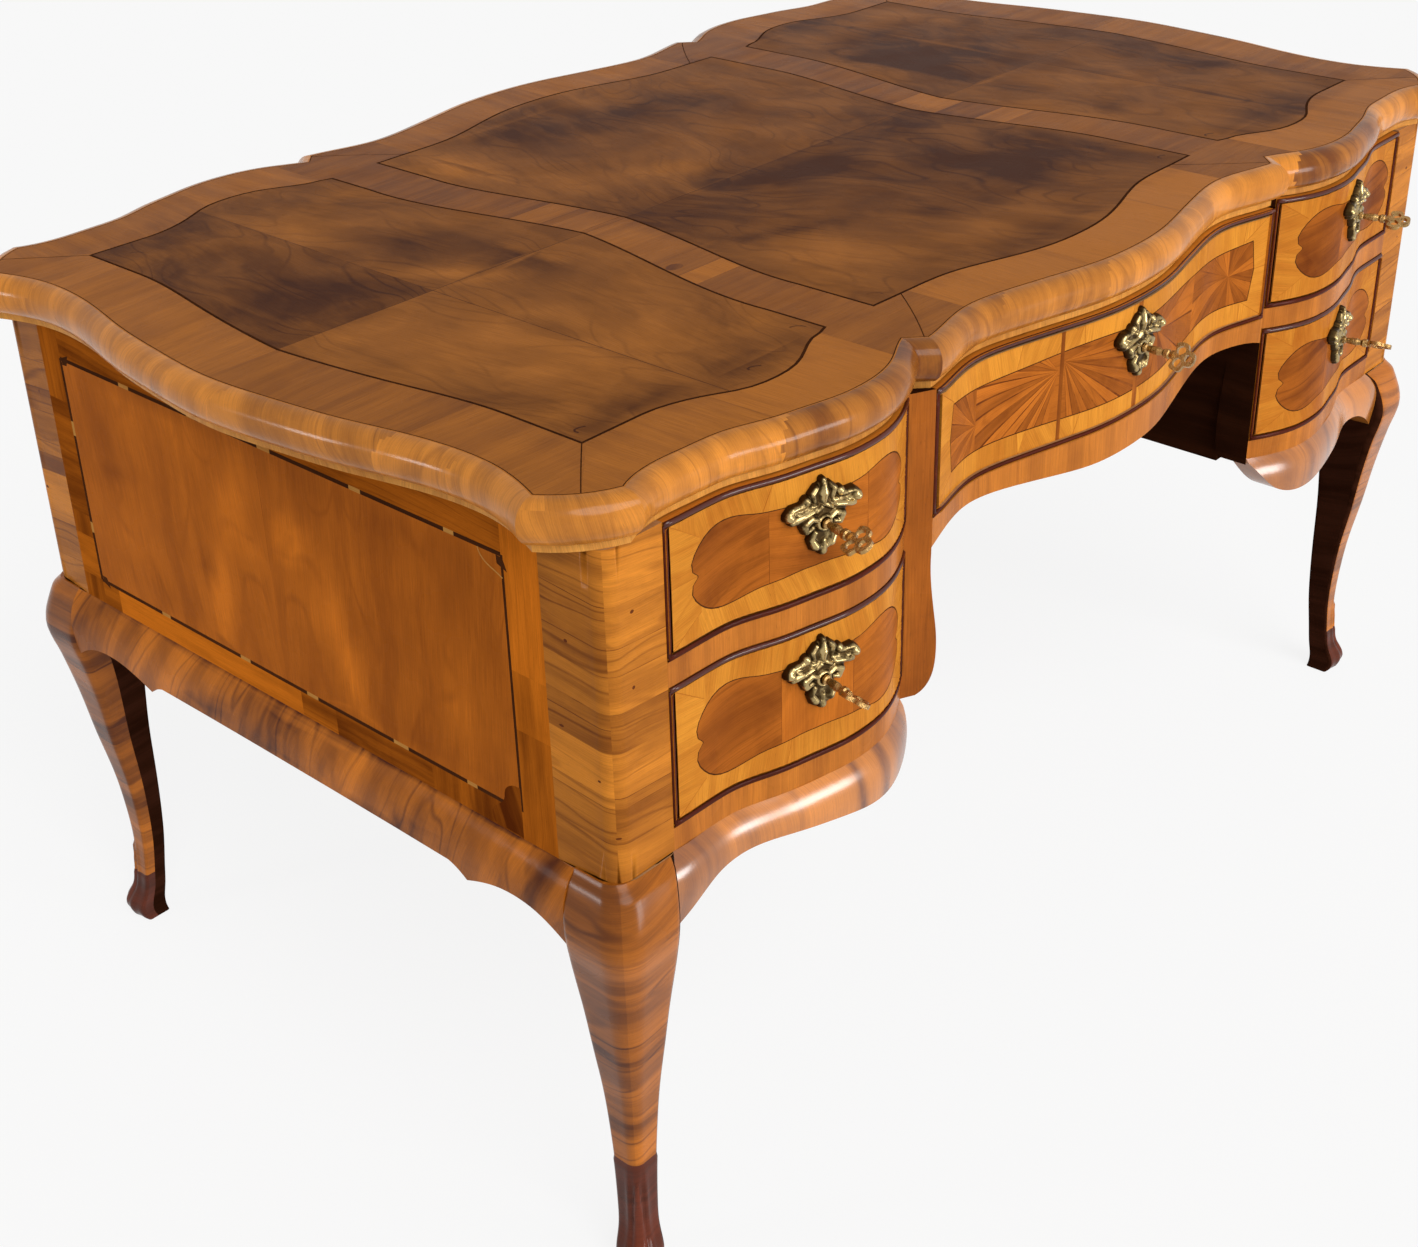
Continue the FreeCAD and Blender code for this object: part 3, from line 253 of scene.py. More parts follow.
class Shell:
    """Faces with their own texture places, shades, normals and materials, merged at the end."""

    def __init__(self):
        self.faces = []

    def face(self, points, uvs, shades, material, normals=None):
        self.faces.append((points, uvs, shades, material, normals))

    def flat(self, points, material, outwards):
        """One level face turned to look outwards, its texture places as in plan."""
        points = [np.asarray(p, float) for p in points]
        normal = sum(np.cross(a, b) for a, b in zip(points, points[1:] + points[:1]))
        if float(np.dot(normal, outwards)) < 0:
            points.reverse()
        self.face(points, [(p[0], p[1]) for p in points], [0.0] * len(points), material)

    def make(self, name, materials, body="carcass", replaces=(), slot=None):
        """Joins corners that lie in one place, and makes the piece."""
        index, places, polygons, kept = {}, [], [], []
        for points, uvs, shades, material, normals in self.faces:
            corners = []
            for p in points:
                key = tuple(int(round(v * 2e5)) for v in p)
                if key not in index:
                    index[key] = len(places)
                    places.append(tuple(float(v) for v in p))
                corners.append(index[key])
            picked = [k for k, corner in enumerate(corners) if corner not in corners[:k]]
            if len(picked) > 2:
                polygons.append([corners[k] for k in picked])
                kept.append((picked, uvs, shades, material, normals))
        mesh = bpy.data.meshes.new(name)
        mesh.from_pydata(places, [], polygons)
        for material in materials:
            mesh.materials.append(material)
        layer = mesh.uv_layers.new(name="grain")
        layer.data.foreach_set("uv", [float(v) for f in kept for k in f[0] for v in f[1][k]])
        shade = mesh.attributes.new("shade", "FLOAT", "CORNER")
        shade.data.foreach_set("value", [float(f[2][k]) for f in kept for k in f[0]])
        mesh.polygons.foreach_set("material_index", [f[3] for f in kept])
        mesh.polygons.foreach_set("use_smooth", [True] * len(kept))
        mesh.update()
        mesh.normals_split_custom_set(
            [tuple(polygon.normal if f[4] is None else f[4][k])
             for polygon, f in zip(mesh.polygons, kept) for k in f[0]])
        return finish_piece(bpy.data.objects.new(name, mesh), body, replaces)


def finish_piece(piece, body, replaces=()):
    """Adds a finished piece to the scene and ties it to its body."""
    bpy.context.scene.collection.objects.link(piece)
    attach(piece, body)
    if replaces:
        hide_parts(*replaces)
    return piece


def inside(points, polygon):
    """Which of the points lie in a closed outline."""
    polygon = np.asarray(polygon, float)
    x, y = points[:, 0], points[:, 1]
    result = np.zeros(len(points), bool)
    previous = polygon[-1]
    for corner in polygon:
        crosses = (corner[1] > y) != (previous[1] > y)
        if corner[1] != previous[1]:
            at = (previous[0] - corner[0]) * (y - corner[1]) / (previous[1] - corner[1])
            result ^= crosses & (x < at + corner[0])
        previous = corner
    return result


class Leaf:
    """One piece of veneer: its outline, kind, grain direction, shade and own place in the grain."""

    def __init__(self, outline, kind, angle=0.0, shade=0.0, flip=(1, 1), origin=None, start=None):
        self.outline = np.asarray(outline, float)
        self.kind = kind
        self.angle = math.radians(angle)
        self.shade = shade
        self.flip = flip
        self.origin = np.asarray(origin if origin is not None else self.outline.mean(0), float)
        self.start = start

    def grain(self, x, y):
        """Texture place: along and across the grain."""
        x, y = (x - self.origin[0]) * self.flip[0], (y - self.origin[1]) * self.flip[1]
        along = x * math.cos(self.angle) + y * math.sin(self.angle)
        across = -x * math.sin(self.angle) + y * math.cos(self.angle)
        return along + self.start[0], across + self.start[1]


def line_leaf(ends, width):
    """Outline of a thin piece of veneer along a line of points."""
    points = np.asarray(ends, float)
    ways = unit(np.gradient(points, axis=0))
    side = np.stack([-ways[:, 1], ways[:, 0]], 1) * width / 2
    return np.concatenate([points + side, (points - side)[::-1]])


def grown(outline, distance):
    """Closed outline moved outwards by a distance, corners mitred."""
    points = np.asarray(outline, float)
    area = 0.5 * np.sum(points[:, 0] * np.roll(points[:, 1], -1)
                        - np.roll(points[:, 0], -1) * points[:, 1])
    before = unit(points - np.roll(points, 1, 0))
    way = unit(before + unit(np.roll(points, -1, 0) - points))
    outwards = np.stack([way[:, 1], -way[:, 0]], 1) * (1 if area > 0 else -1)
    half = np.maximum(np.sum(way * before, axis=1), 0.5)
    return points + outwards * (distance / half)[:, None]


def veneer(shell, outline, leaves, place, normal, grid, seed, run=None, shade=None):
    """Cuts a sheet into its leaves and lays it on a surface.

    The sheet is drawn in two distances; place puts them in space, and run corrects the
    first one along a curved surface. grid gives further points inside the sheet.
    """
    chance = random.Random(seed)
    for leaf in leaves:
        if leaf.start is None:
            leaf.start = (chance.uniform(0, 9), chance.uniform(0, 9))
    places, index, edges = [], {}, []

    def number(point):
        key = (int(round(point[0] * 1e6)), int(round(point[1] * 1e6)))
        if key not in index:
            index[key] = len(places)
            places.append(Vector((point[0], point[1])))
        return index[key]

    for loop in [outline] + [leaf.outline for leaf in leaves]:
        numbers = [number(p) for p in loop]
        edges += [(a, b) for a, b in zip(numbers, numbers[1:] + numbers[:1]) if a != b]
    for line in grid:
        numbers = [number(p) for p in line]
        edges += [(a, b) for a, b in zip(numbers, numbers[1:]) if a != b]
    result = delaunay_2d_cdt(places, edges, [], 0, 1e-7)
    points = np.array([tuple(p) for p in result[0]])
    faces = result[2]
    middles = np.array([points[list(f)].mean(0) for f in faces])
    keep = inside(middles, outline)
    owner = np.full(len(faces), -1)
    for k, leaf in enumerate(leaves):
        owner[inside(middles, leaf.outline)] = k
    spots = np.array(place(points[:, 0], points[:, 1])).T
    directions = np.array(normal(points[:, 0], points[:, 1])).T
    shades = shade(points[:, 0], points[:, 1]) if shade is not None else np.zeros(len(points))
    runs = run(points[:, 0]) if run is not None else points[:, 0]
    for f, (face, who) in enumerate(zip(faces, owner)):
        if not keep[f] or who < 0:
            continue
        leaf = leaves[who]
        face = list(face)
        a, b, c = (spots[k] for k in face)
        if float(np.dot(np.cross(b - a, c - a), directions[face[0]])) < 0:
            face.reverse()
        uvs = [leaf.grain(runs[k], points[k, 1]) for k in face]
        shell.face([spots[k] for k in face], uvs, [leaf.shade + shades[k] for k in face],
                   leaf.kind, [directions[k] for k in face])


def rectangle(x_low, x_high, y_low, y_high):
    """Outline of a box, anticlockwise."""
    return [(x_low, y_low), (x_high, y_low), (x_high, y_high), (x_low, y_high)]


def lattice(x_low, x_high, y_low, y_high, step):
    """Loose points inside a sheet, as very short lines."""
    return [[(x, y)] for x in np.arange(x_low + step, x_high - step / 2, step)
            for y in np.arange(y_low + step, y_high - step / 2, step)]


# Materials


class Nodes:
    """Short ways to add, fill and join the nodes of a tree."""

    def __init__(self, tree):
        self.tree = tree

    def feed(self, socket, value):
        """Joins a socket to another one, or sets its value; a colour gets its fourth number."""
        if isinstance(value, bpy.types.NodeSocket):
            self.tree.links.new(value, socket)
        elif socket.type == "RGBA" and len(value) == 3:
            socket.default_value = (*value, 1.0)
        else:
            socket.default_value = value

    def add(self, kind, inputs=None, **settings):
        """A new node with its settings, and its inputs by name or number."""
        node = self.tree.nodes.new(kind)
        for key, value in settings.items():
            setattr(node, key, value)
        for key, value in (inputs or {}).items():
            self.feed(node.inputs[key], value)
        return node

    def math(self, operation, a, b=0.0, c=0.0, clamp=False):
        return self.add("ShaderNodeMath", {0: a, 1: b, 2: c}, operation=operation,
                        use_clamp=clamp).outputs[0]

    def vectors(self, operation, inputs):
        return self.add("ShaderNodeVectorMath", inputs, operation=operation).outputs[0]

    def vector(self, x, y, z):
        return self.add("ShaderNodeCombineXYZ", {0: x, 1: y, 2: z}).outputs[0]

    def scaled(self, vector, by):
        return self.add("ShaderNodeMapping", {"Vector": vector, "Scale": by}).outputs[0]

    def noise(self, vector, scale, detail=2.0, rough=0.5, distortion=0.0, output="Fac"):
        return self.add("ShaderNodeTexNoise", {
            "Vector": vector, "Scale": scale, "Detail": detail, "Roughness": rough,
            "Distortion": distortion}).outputs[output]

    def ramp(self, value, low, high, to_low=0.0, to_high=1.0, kind="SMOOTHSTEP"):
        return self.add("ShaderNodeMapRange", {
            "Value": value, "From Min": low, "From Max": high, "To Min": to_low,
            "To Max": to_high}, interpolation_type=kind).outputs["Result"]

    def mix(self, share, a, b, blend="MIX"):
        return self.add("ShaderNodeMix", {0: share, 6: a, 7: b}, data_type="RGBA",
                        blend_type=blend).outputs[2]

    def group(self, name, inputs):
        return self.add("ShaderNodeGroup", inputs, node_tree=bpy.data.node_groups[name])


def new_tree(kind, name, inputs, outputs):
    """A shader or geometry tree: its helper, given values, results and its inputs' keys."""
    tree = bpy.data.node_groups.new(name, kind + "NodeTree")
    keys = {}
    for label, value_kind, *start in inputs:
        socket = tree.interface.new_socket(label, in_out="INPUT",
                                           socket_type="NodeSocket" + value_kind)
        keys[label] = socket.identifier
        if start:
            socket.default_value = start[0]
    for label, value_kind in outputs:
        tree.interface.new_socket(label, in_out="OUTPUT", socket_type="NodeSocket" + value_kind)
    n = Nodes(tree)
    return n, n.add("NodeGroupInput").outputs, n.add("NodeGroupOutput").inputs, keys


def close_tree(n, geometry, result, material):
    """Ends a geometry node tree in plain faces of one material."""
    real = n.add("GeometryNodeRealizeInstances", {"Geometry": geometry})
    paint = n.add("GeometryNodeSetMaterial", {"Geometry": real.outputs[0],
                                              "Material": material})
    n.feed(result, paint.outputs[0])


def plain_result(name, mesh, tree, values):
    """Plain mesh of what a geometry node tree makes of a given one."""
    line = bpy.data.objects.new(name, mesh)
    bpy.context.scene.collection.objects.link(line)
    modifier = line.modifiers.new("drawn", "NODES")
    modifier.node_group = tree
    for key, value in values.items():
        modifier[key] = value
    bpy.context.view_layer.update()
    shown = line.evaluated_get(bpy.context.evaluated_depsgraph_get())
    made = bpy.data.meshes.new_from_object(shown)
    bpy.data.objects.remove(line)
    return made


# What a group of a wood or metal gives to its shader
SURFACE = (("Color", "Color"), ("Roughness", "Float"), ("Height", "Float"))


def grain_group():
    """Walnut: rings, growth lines, fibres, pores and clouds, along the vector's first direction."""
    n, given, out, _ = new_tree("Shader", "walnut_grain", (
        ("Vector", "Vector"), ("Light", "Color", (0.4, 0.2, 0.05, 1)),
        ("Dark", "Color", (0.1, 0.04, 0.02, 1)), ("Shade", "Float", 0.0),
        ("Rings", "Float", 60.0), ("Stretch", "Float", 0.05), ("Contrast", "Float", 0.5),
        ("Waviness", "Float", 0.5), ("Clouds", "Float", 0.3), ("Cloud Scale", "Float", 7.0),
        ("Lines", "Float", 0.2)), SURFACE)
    vector = given["Vector"]
    shift = n.vectors("SCALE", {0: n.noise(vector, 5.0, output="Color"),
                                "Scale": n.math("MULTIPLY", given["Waviness"], 0.05)})
    moved = n.vectors("ADD", {0: vector, 1: shift})
    long = n.scaled(moved, n.vector(given["Stretch"], 1.0, 1.0))
    rings = n.noise(long, given["Rings"], 3.0, 0.55)
    ring_share = n.ramp(rings, 0.34, 0.64)
    broad = n.noise(long, n.math("MULTIPLY", given["Rings"], 0.28))
    # Growth lines are the height lines of a drawn-out hilly field
    hills = n.noise(long, n.math("MULTIPLY", given["Rings"], 0.4), 1.0, 0.4)
    slope = n.math("PINGPONG", n.math("MULTIPLY", hills, 13.0), 0.5)
    line = n.math("MULTIPLY", n.ramp(slope, 0.0, 0.15, 1.0, 0.0), n.ramp(rings, 0.38, 0.6))
    clouds = n.noise(moved, given["Cloud Scale"], 4.0, 0.6, 0.6)
    fibres = n.noise(n.scaled(vector, (22.0, 1300.0, 1300.0)), 1.0, 2.0, 0.6)
    pores = n.ramp(n.noise(n.scaled(vector, (130.0, 2100.0, 2100.0)), 1.0, 1.0), 0.66, 0.74)
    share = n.math("MULTIPLY_ADD", n.math("SUBTRACT", ring_share, 0.5), given["Contrast"], 0.62)
    share = n.math("MULTIPLY_ADD", n.math("SUBTRACT", broad, 0.5),
                   n.math("MULTIPLY", given["Contrast"], 1.5), share)
    cloud_share = n.math("MULTIPLY", n.math("SUBTRACT", clouds, 0.5), given["Clouds"])
    share = n.math("MULTIPLY_ADD", cloud_share, 2.4, share)
    share = n.math("ADD", share, given["Shade"])
    share = n.math("SUBTRACT", share, n.math("MULTIPLY", line, given["Lines"]), clamp=True)
    base = n.mix(share, given["Dark"], given["Light"])
    factor = n.math("MULTIPLY", n.ramp(fibres, 0.25, 0.75, 0.84, 1.12),
                    n.ramp(given["Shade"], 0.0, 0.6, 1.0, 1.16, "LINEAR"))
    factor = n.math("MULTIPLY", factor, n.ramp(pores, 0.0, 1.0, 1.0, 0.72))
    grey = n.add("ShaderNodeCombineColor", {0: factor, 1: factor, 2: factor}).outputs[0]
    n.feed(out["Color"], n.mix(1.0, base, grey, "MULTIPLY"))
    rough = n.ramp(n.noise(vector, 14.0, 3.0), 0.3, 0.75, 0.22, 0.36)
    n.feed(out["Roughness"], n.math("MULTIPLY_ADD", pores, 0.12, rough))
    n.feed(out["Height"], n.math("SUBTRACT", n.math("MULTIPLY", fibres, 0.35), pores))


def new_material(name):
    """An empty material, the helper of its tree and its surface."""
    material = bpy.data.materials.new(name)
    material.use_nodes = True
    material.node_tree.nodes.clear()
    n = Nodes(material.node_tree)
    return material, n, n.add("ShaderNodeOutputMaterial").inputs["Surface"]


def covered(n, surface, group, values, strength, depth):
    """Joins a group's colour, roughness and relief to a shader, and sets its other values."""
    results = group.outputs
    relief = n.add("ShaderNodeBump", {"Strength": strength, "Distance": depth,
                                      "Height": results["Height"]})
    shader = n.add("ShaderNodeBsdfPrincipled", {
        "Base Color": results["Color"], "Roughness": results["Roughness"],
        "Normal": relief.outputs[0], **values})
    n.feed(surface, shader.outputs[0])


def walnut(name, light, dark, rings=60.0, contrast=0.5, waviness=0.5, clouds=0.3,
           cloud_scale=7.0, coat=0.1, bump=0.05, turn=None, roughness=None,
           stretch=0.05, lines=0.18, gloss=0.05, coat_rough=0.14, coat_ior=1.38):
    """Polished walnut whose grain follows the piece's own texture places or its turned axes."""
    material, n, surface = new_material(name)
    if turn is None:
        vector = n.add("ShaderNodeUVMap", uv_map="grain").outputs[0]
    else:
        place = n.add("ShaderNodeTexCoord").outputs["Object"]
        vector = n.add("ShaderNodeMapping", {"Vector": place, "Rotation": turn}).outputs[0]
    group = n.group("walnut_grain", {
        "Vector": vector, "Light": light, "Dark": dark, "Rings": rings, "Stretch": stretch,
        "Shade": n.add("ShaderNodeAttribute", attribute_name="shade").outputs["Fac"],
        "Contrast": contrast, "Waviness": waviness, "Clouds": clouds,
        "Cloud Scale": cloud_scale, "Lines": lines})
    values = {"Coat Weight": coat, "Coat Roughness": coat_rough, "Coat IOR": coat_ior,
              "Specular IOR Level": gloss}
    if roughness is not None:
        values["Roughness"] = roughness
    covered(n, surface, group, values, bump, 0.0005)
    return material


def metal(name, base, roughness, patina, in_relief=False, strength=0.25, depth=0.0004):
    """Cast metal with a dull film in its hollows, and fine scratches."""
    material, n, surface = new_material(name)
    values = {"Vector": n.add("ShaderNodeTexCoord").outputs["Object"], "Base": base,
              "Patina": patina, "Roughness": roughness}
    if in_relief:
        values["Depth"] = n.add("ShaderNodeAttribute", attribute_name="depth").outputs["Fac"]
    covered(n, surface, n.group("metal_wear", values), {"Metallic": 1.0}, strength, depth)
    return material


def metal_group():
    """Metal: a dull film that gathers in the hollows, and pits."""
    n, given, out, _ = new_tree("Shader", "metal_wear", (
        ("Vector", "Vector"), ("Base", "Color", (0.6, 0.45, 0.2, 1)),
        ("Patina", "Color", (0.15, 0.09, 0.03, 1)), ("Roughness", "Float", 0.3),
        ("Depth", "Float", 0.0)), SURFACE)
    broad = n.noise(given["Vector"], 90.0, 4.0, 0.65)
    pits = n.noise(given["Vector"], 900.0, 3.0, 0.6)
    film = n.ramp(n.math("MULTIPLY_ADD", given["Depth"], 0.6, broad), 0.52, 0.8)
    n.feed(out["Color"], n.mix(film, given["Base"], given["Patina"]))
    rough = n.math("MULTIPLY_ADD", film, 0.22, given["Roughness"])
    n.feed(out["Roughness"], n.math("MULTIPLY_ADD", pits, 0.08, rough))
    n.feed(out["Height"], n.math("MULTIPLY_ADD", pits, 0.3, broad))


def seen_share(n):
    """One for rays from the camera or off glossy or clear surfaces."""
    path = n.add("ShaderNodeLightPath").outputs
    seen = n.math("MAXIMUM", path["Is Camera Ray"], path["Is Glossy Ray"])
    return n.math("MAXIMUM", seen, path["Is Transmission Ray"])


def plain_floor(name, base):
    """Very pale seamless paper, shown white, with the object's shadow left on it."""
    material, n, surface = new_material(name)
    cloud = n.noise(n.add("ShaderNodeTexCoord").outputs["Object"], 1.3, 3.0)
    shader = n.add("ShaderNodeBsdfPrincipled", {
        "Base Color": n.mix(cloud, base, tuple(v * 0.985 for v in base)), "Roughness": 0.75,
        "Specular IOR Level": 0.25})
    glow = n.add("ShaderNodeEmission", {"Strength": 1.0})
    both = n.add("ShaderNodeMixShader", {0: n.math("MULTIPLY", seen_share(n), 0.86),
                                         1: shader.outputs[0], 2: glow.outputs[0]})
    n.feed(surface, both.outputs[0])
    return material


MATERIALS = {}


def make_materials():
    """Every material of the desk, from its colours."""
    grain_group()
    metal_group()
    c = colours()
    MATERIALS.update(
        field=walnut("top_field_walnut", c.field_light, c.field_dark, 30.0, 0.2, 2.4, 0.42, 7.0,
                     stretch=0.3, lines=0.18, coat=0.03, gloss=0.005),
        band=walnut("top_band_walnut", c.band, c.umber, 60.0, 0.26, 0.5, 0.22, 12.0,
                    lines=0.12, coat=0.03, gloss=0.01),
        string=walnut("dark_string", c.string, (0.03, 0.01, 0.004), 90.0, 0.4,
                      coat=0.01, gloss=0.0),
        light_string=walnut("light_string", (0.5, 0.25, 0.06), c.honey, 90.0, 0.3, coat=0.01,
                            gloss=0.0),
        nose=walnut("moulding_walnut", (0.62, 0.225, 0.03), (0.15, 0.042, 0.008), 40.0, 0.36,
                    1.0, 0.42, 15.0, coat=0.4, lines=0.26),
        fillet=walnut("fillet_walnut", (0.66, 0.3, 0.06), c.amber, 90.0, 0.3, gloss=0.05),
        panel=walnut("panel_walnut", (0.57, 0.155, 0.012), (0.15, 0.03, 0.003), 30.0, 0.22,
                     1.6, 0.2, 8.0, stretch=0.1, coat=0.0, gloss=0.01, lines=0.16),
        frame=walnut("frame_walnut", (0.56, 0.15, 0.011), (0.1, 0.02, 0.003), 50.0, 0.4,
                     0.6, 0.26, 10.0, coat=0.0, gloss=0.0),
        post=walnut("post_walnut", (0.56, 0.195, 0.022), (0.12, 0.028, 0.005), 42.0, 0.36,
                    0.9, 0.26, 10.0, coat=0.08, gloss=0.02, lines=0.36),
        gold=walnut("golden_walnut", c.gold, (0.34, 0.095, 0.01), 46.0, 0.34, 0.8, 0.28, 14.0,
                    lines=0.24, coat=0.03, gloss=0.01),
        cartouche=walnut("cartouche_walnut", (0.44, 0.125, 0.014), (0.12, 0.027, 0.005), 40.0,
                         0.36, 1.0, 0.4, 14.0, lines=0.24, coat=0.03, gloss=0.01),
        leg=walnut("leg_walnut", (0.5, 0.15, 0.014), (0.075, 0.017, 0.003), 44.0, 0.4,
                   0.9, 0.26, 9.0, coat=0.4, lines=0.42, coat_rough=0.2),
        apron=walnut("apron_walnut", (0.56, 0.185, 0.02), (0.13, 0.032, 0.006), 30.0, 0.36,
                     1.0, 0.34, 12.0, coat=0.9, lines=0.28, coat_ior=1.75,
                     coat_rough=0.22),
        side_apron=walnut("side_apron_walnut", (0.56, 0.165, 0.014), (0.07, 0.014, 0.003),
                          34.0, 0.4, 1.2, 0.36, 12.0, coat=0.15, gloss=0.04, lines=0.34),
        # Near-black inner faces of the legs: painted shade
        inner=walnut("shaded_inner_face", c.inner, (0.01, 0.003, 0.001), 60.0, 0.5,
                     coat=0.0, gloss=0.0),
        hoof=walnut("hoof_walnut", c.hoof, (0.03, 0.008, 0.003), 50.0, 0.5, coat=0.35,
                    gloss=0.05),
        bead=walnut("bead_walnut", c.bead, (0.035, 0.006, 0.003), 90.0, 0.4, coat=0.12,
                    bump=0.02, turn=(0.0, 0.0, 0.0), gloss=0.02),
        top_bead=walnut("top_bead_walnut", c.bead, (0.035, 0.006, 0.003), 90.0, 0.4,
                        coat=0.5, bump=0.02, turn=(0.0, 0.0, 0.0), gloss=0.02,
                        coat_ior=1.6),
        timber=walnut("plain_timber", c.timber, (0.25, 0.125, 0.05), 60.0, 0.4,
                      coat=0.0, bump=0.15, turn=(0.0, 0.0, math.pi / 2),
                      roughness=0.6, gloss=0.15),
        brass=metal("cast_brass", c.brass, 0.17, (0.045, 0.026, 0.009), True),
        key=metal("key_brass", (0.42, 0.25, 0.09), 0.2, (0.045, 0.02, 0.007),
                  strength=1.0, depth=0.0016),
        steel=metal("lock_steel", c.steel, 0.38, (0.2, 0.18, 0.16)),
    )


def chosen(*names):
    """Materials by their short names."""
    return [MATERIALS[name] for name in names]


# Top


def crease_half():
    """Flat top's edge about the case's middle: front and right side, as lists of points."""
    s = sizes()
    centre = [(x, y + s.crease_setback) for x, y in centre_points()]
    notch = (s.centre_edge + NOTCH_WIDTH, -s.case_front + s.crease_setback)
    pedestal = [notch] + [(x, y + s.crease_setback) for x, y in reversed(pedestal_points())]
    inner = s.case_side - s.post_face
    for run, flare in CORNER_FLARE_SHARES:
        pedestal.append((inner + CORNER_FRONT_RUN * run, notch[1] - CORNER_FLARE * flare))
    side_end = s.case_front - s.post_side + CORNER_SIDE_RUN
    half = [(s.case_side + s.side_swell * swell, side_end * share)
            for share, swell in SIDE_PLAN_SHARES]
    side = [(x, -y) for x, y in reversed(half[1:])] + half
    a, b = np.array(pedestal[-1]), np.array(side[0])
    chord = b - a
    outwards = np.array((chord[1], -chord[0])) / np.linalg.norm(chord)
    middle = (a + b) / 2 + outwards * CORNER_BULGE
    return centre, notch, pedestal, (tuple(a), tuple(middle), tuple(b)), side


def arc_points(a, b, c, count):
    """Points of the circle through three points, from the first to the last."""
    a, b, c = (np.array(p, float) for p in (a, b, c))
    rows = np.array([b - a, c - a])
    right = 0.5 * np.array([np.dot(b, b) - np.dot(a, a), np.dot(c, c) - np.dot(a, a)])
    centre = np.linalg.solve(rows, right)
    angles = [math.atan2(*(p - centre)[::-1]) for p in (a, b, c)]
    turn = (angles[2] - angles[0] + math.pi) % (2 * math.pi) - math.pi
    radius = np.linalg.norm(a - centre)
    steps = angles[0] + turn * np.linspace(0, 1, count)
    return centre + radius * np.stack([np.cos(steps), np.sin(steps)], 1)


def crease_runs(step=0.008):
    """All runs of the flat top's edge, anticlockwise from the left end of the middle front."""
    centre, notch, pedestal, corner, side = crease_half()
    front = Curve(centre).sample(step)
    quarter = [
        np.array([centre[-1], notch]),
        Curve(pedestal).sample(step),
        arc_points(*corner, 7),
    ]
    right = Curve(side).sample(step)

    def turned(run, x_sign, y_sign):
        moved = run * np.array([x_sign, y_sign])
        return moved if x_sign == y_sign else moved[::-1]

    runs = [front] + quarter + [right]
    runs += [turned(run, 1, -1) for run in reversed(quarter)]
    runs += [turned(front, 1, -1)]
    runs += [turned(run, -1, -1) for run in quarter]
    runs += [turned(right, -1, -1)]
    runs += [turned(run, -1, 1) for run in reversed(quarter)]
    return runs


def clouds(spots):
    """Shade painted in soft round spots: x, y, two radii, turn in degrees and depth."""

    def shade(x, y):
        total = np.zeros_like(x)
        for cx, cy, rx, ry, turn, depth in spots:
            a = math.radians(turn)
            u = (x - cx) * math.cos(a) + (y - cy) * math.sin(a)
            v = -(x - cx) * math.sin(a) + (y - cy) * math.cos(a)
            total = total + depth * np.exp(-(u / rx) ** 2 - (v / ry) ** 2)
        return total

    return shade


# Clouds of the figured fields: across, back, two radii, turn and depth
TOP_CLOUDS = (
    # Left field
    (-0.56, 0.1, 0.08, 0.075, 0, -0.12), (-0.52, 0.04, 0.05, 0.04, 0, -0.08),
    (-0.56, 0.27, 0.08, 0.03, 0, 0.1), (-0.455, 0.225, 0.04, 0.04, 0, 0.16),
    (-0.43, 0.12, 0.06, 0.045, -40, -0.26), (-0.335, 0.06, 0.03, 0.11, 0, -0.22),
    (-0.37, 0.0, 0.04, 0.06, 0, -0.16), (-0.443, 0.018, 0.07, 0.017, -50, 0.34),
    (-0.59, -0.04, 0.05, 0.07, 0, 0.16), (-0.55, -0.12, 0.07, 0.04, 20, 0.12),
    (-0.61, -0.2, 0.03, 0.06, 0, -0.14), (-0.545, -0.215, 0.04, 0.035, 0, 0.16),
    (-0.56, -0.315, 0.08, 0.014, 0, -0.26), (-0.39, -0.035, 0.028, 0.03, 0, -0.2),
    (-0.32, -0.09, 0.03, 0.08, 0, -0.1), (-0.44, -0.225, 0.045, 0.035, 0, 0.18),
    (-0.425, -0.33, 0.05, 0.014, 0, -0.22), (-0.48, -0.15, 0.012, 0.08, 10, -0.14),
    # Middle field
    (-0.225, 0.25, 0.035, 0.06, -25, 0.42), (-0.075, 0.27, 0.11, 0.065, 0, -0.24),
    (0.08, 0.235, 0.08, 0.065, 0, -0.18), (0.05, 0.32, 0.05, 0.025, 0, 0.14),
    (0.215, 0.23, 0.04, 0.09, 0, 0.2), (-0.13, 0.085, 0.11, 0.03, -18, 0.2),
    (-0.2, 0.14, 0.025, 0.045, 0, 0.14), (0.0, -0.05, 0.17, 0.034, 0, -0.2),
    (-0.13, -0.01, 0.13, 0.13, 0, -0.18),
    (0.18, 0.0, 0.08, 0.05, 0, -0.16), (0.14, -0.215, 0.07, 0.06, 0, -0.28),
    (0.05, -0.13, 0.11, 0.045, -10, -0.18), (-0.195, -0.225, 0.07, 0.07, 0, 0.34),
    (-0.06, -0.3, 0.09, 0.04, 0, 0.26), (-0.17, -0.15, 0.07, 0.012, -22, -0.26),
    (-0.04, -0.22, 0.045, 0.012, -50, -0.14), (0.19, -0.31, 0.06, 0.03, 0, 0.1),
    (-0.21, -0.02, 0.035, 0.06, 0, -0.08),
    # Right field
    (0.43, 0.13, 0.11, 0.075, -10, -0.22), (0.36, 0.02, 0.04, 0.1, 0, -0.16),
    (0.5, 0.29, 0.11, 0.04, 0, 0.2), (0.6, 0.2, 0.03, 0.08, 0, 0.12),
    (0.46, -0.095, 0.09, 0.05, 0, 0.16), (0.6, -0.13, 0.035, 0.07, 0, -0.16),
    (0.5, -0.24, 0.11, 0.05, 0, 0.2), (0.42, -0.32, 0.06, 0.015, 0, -0.12),
)


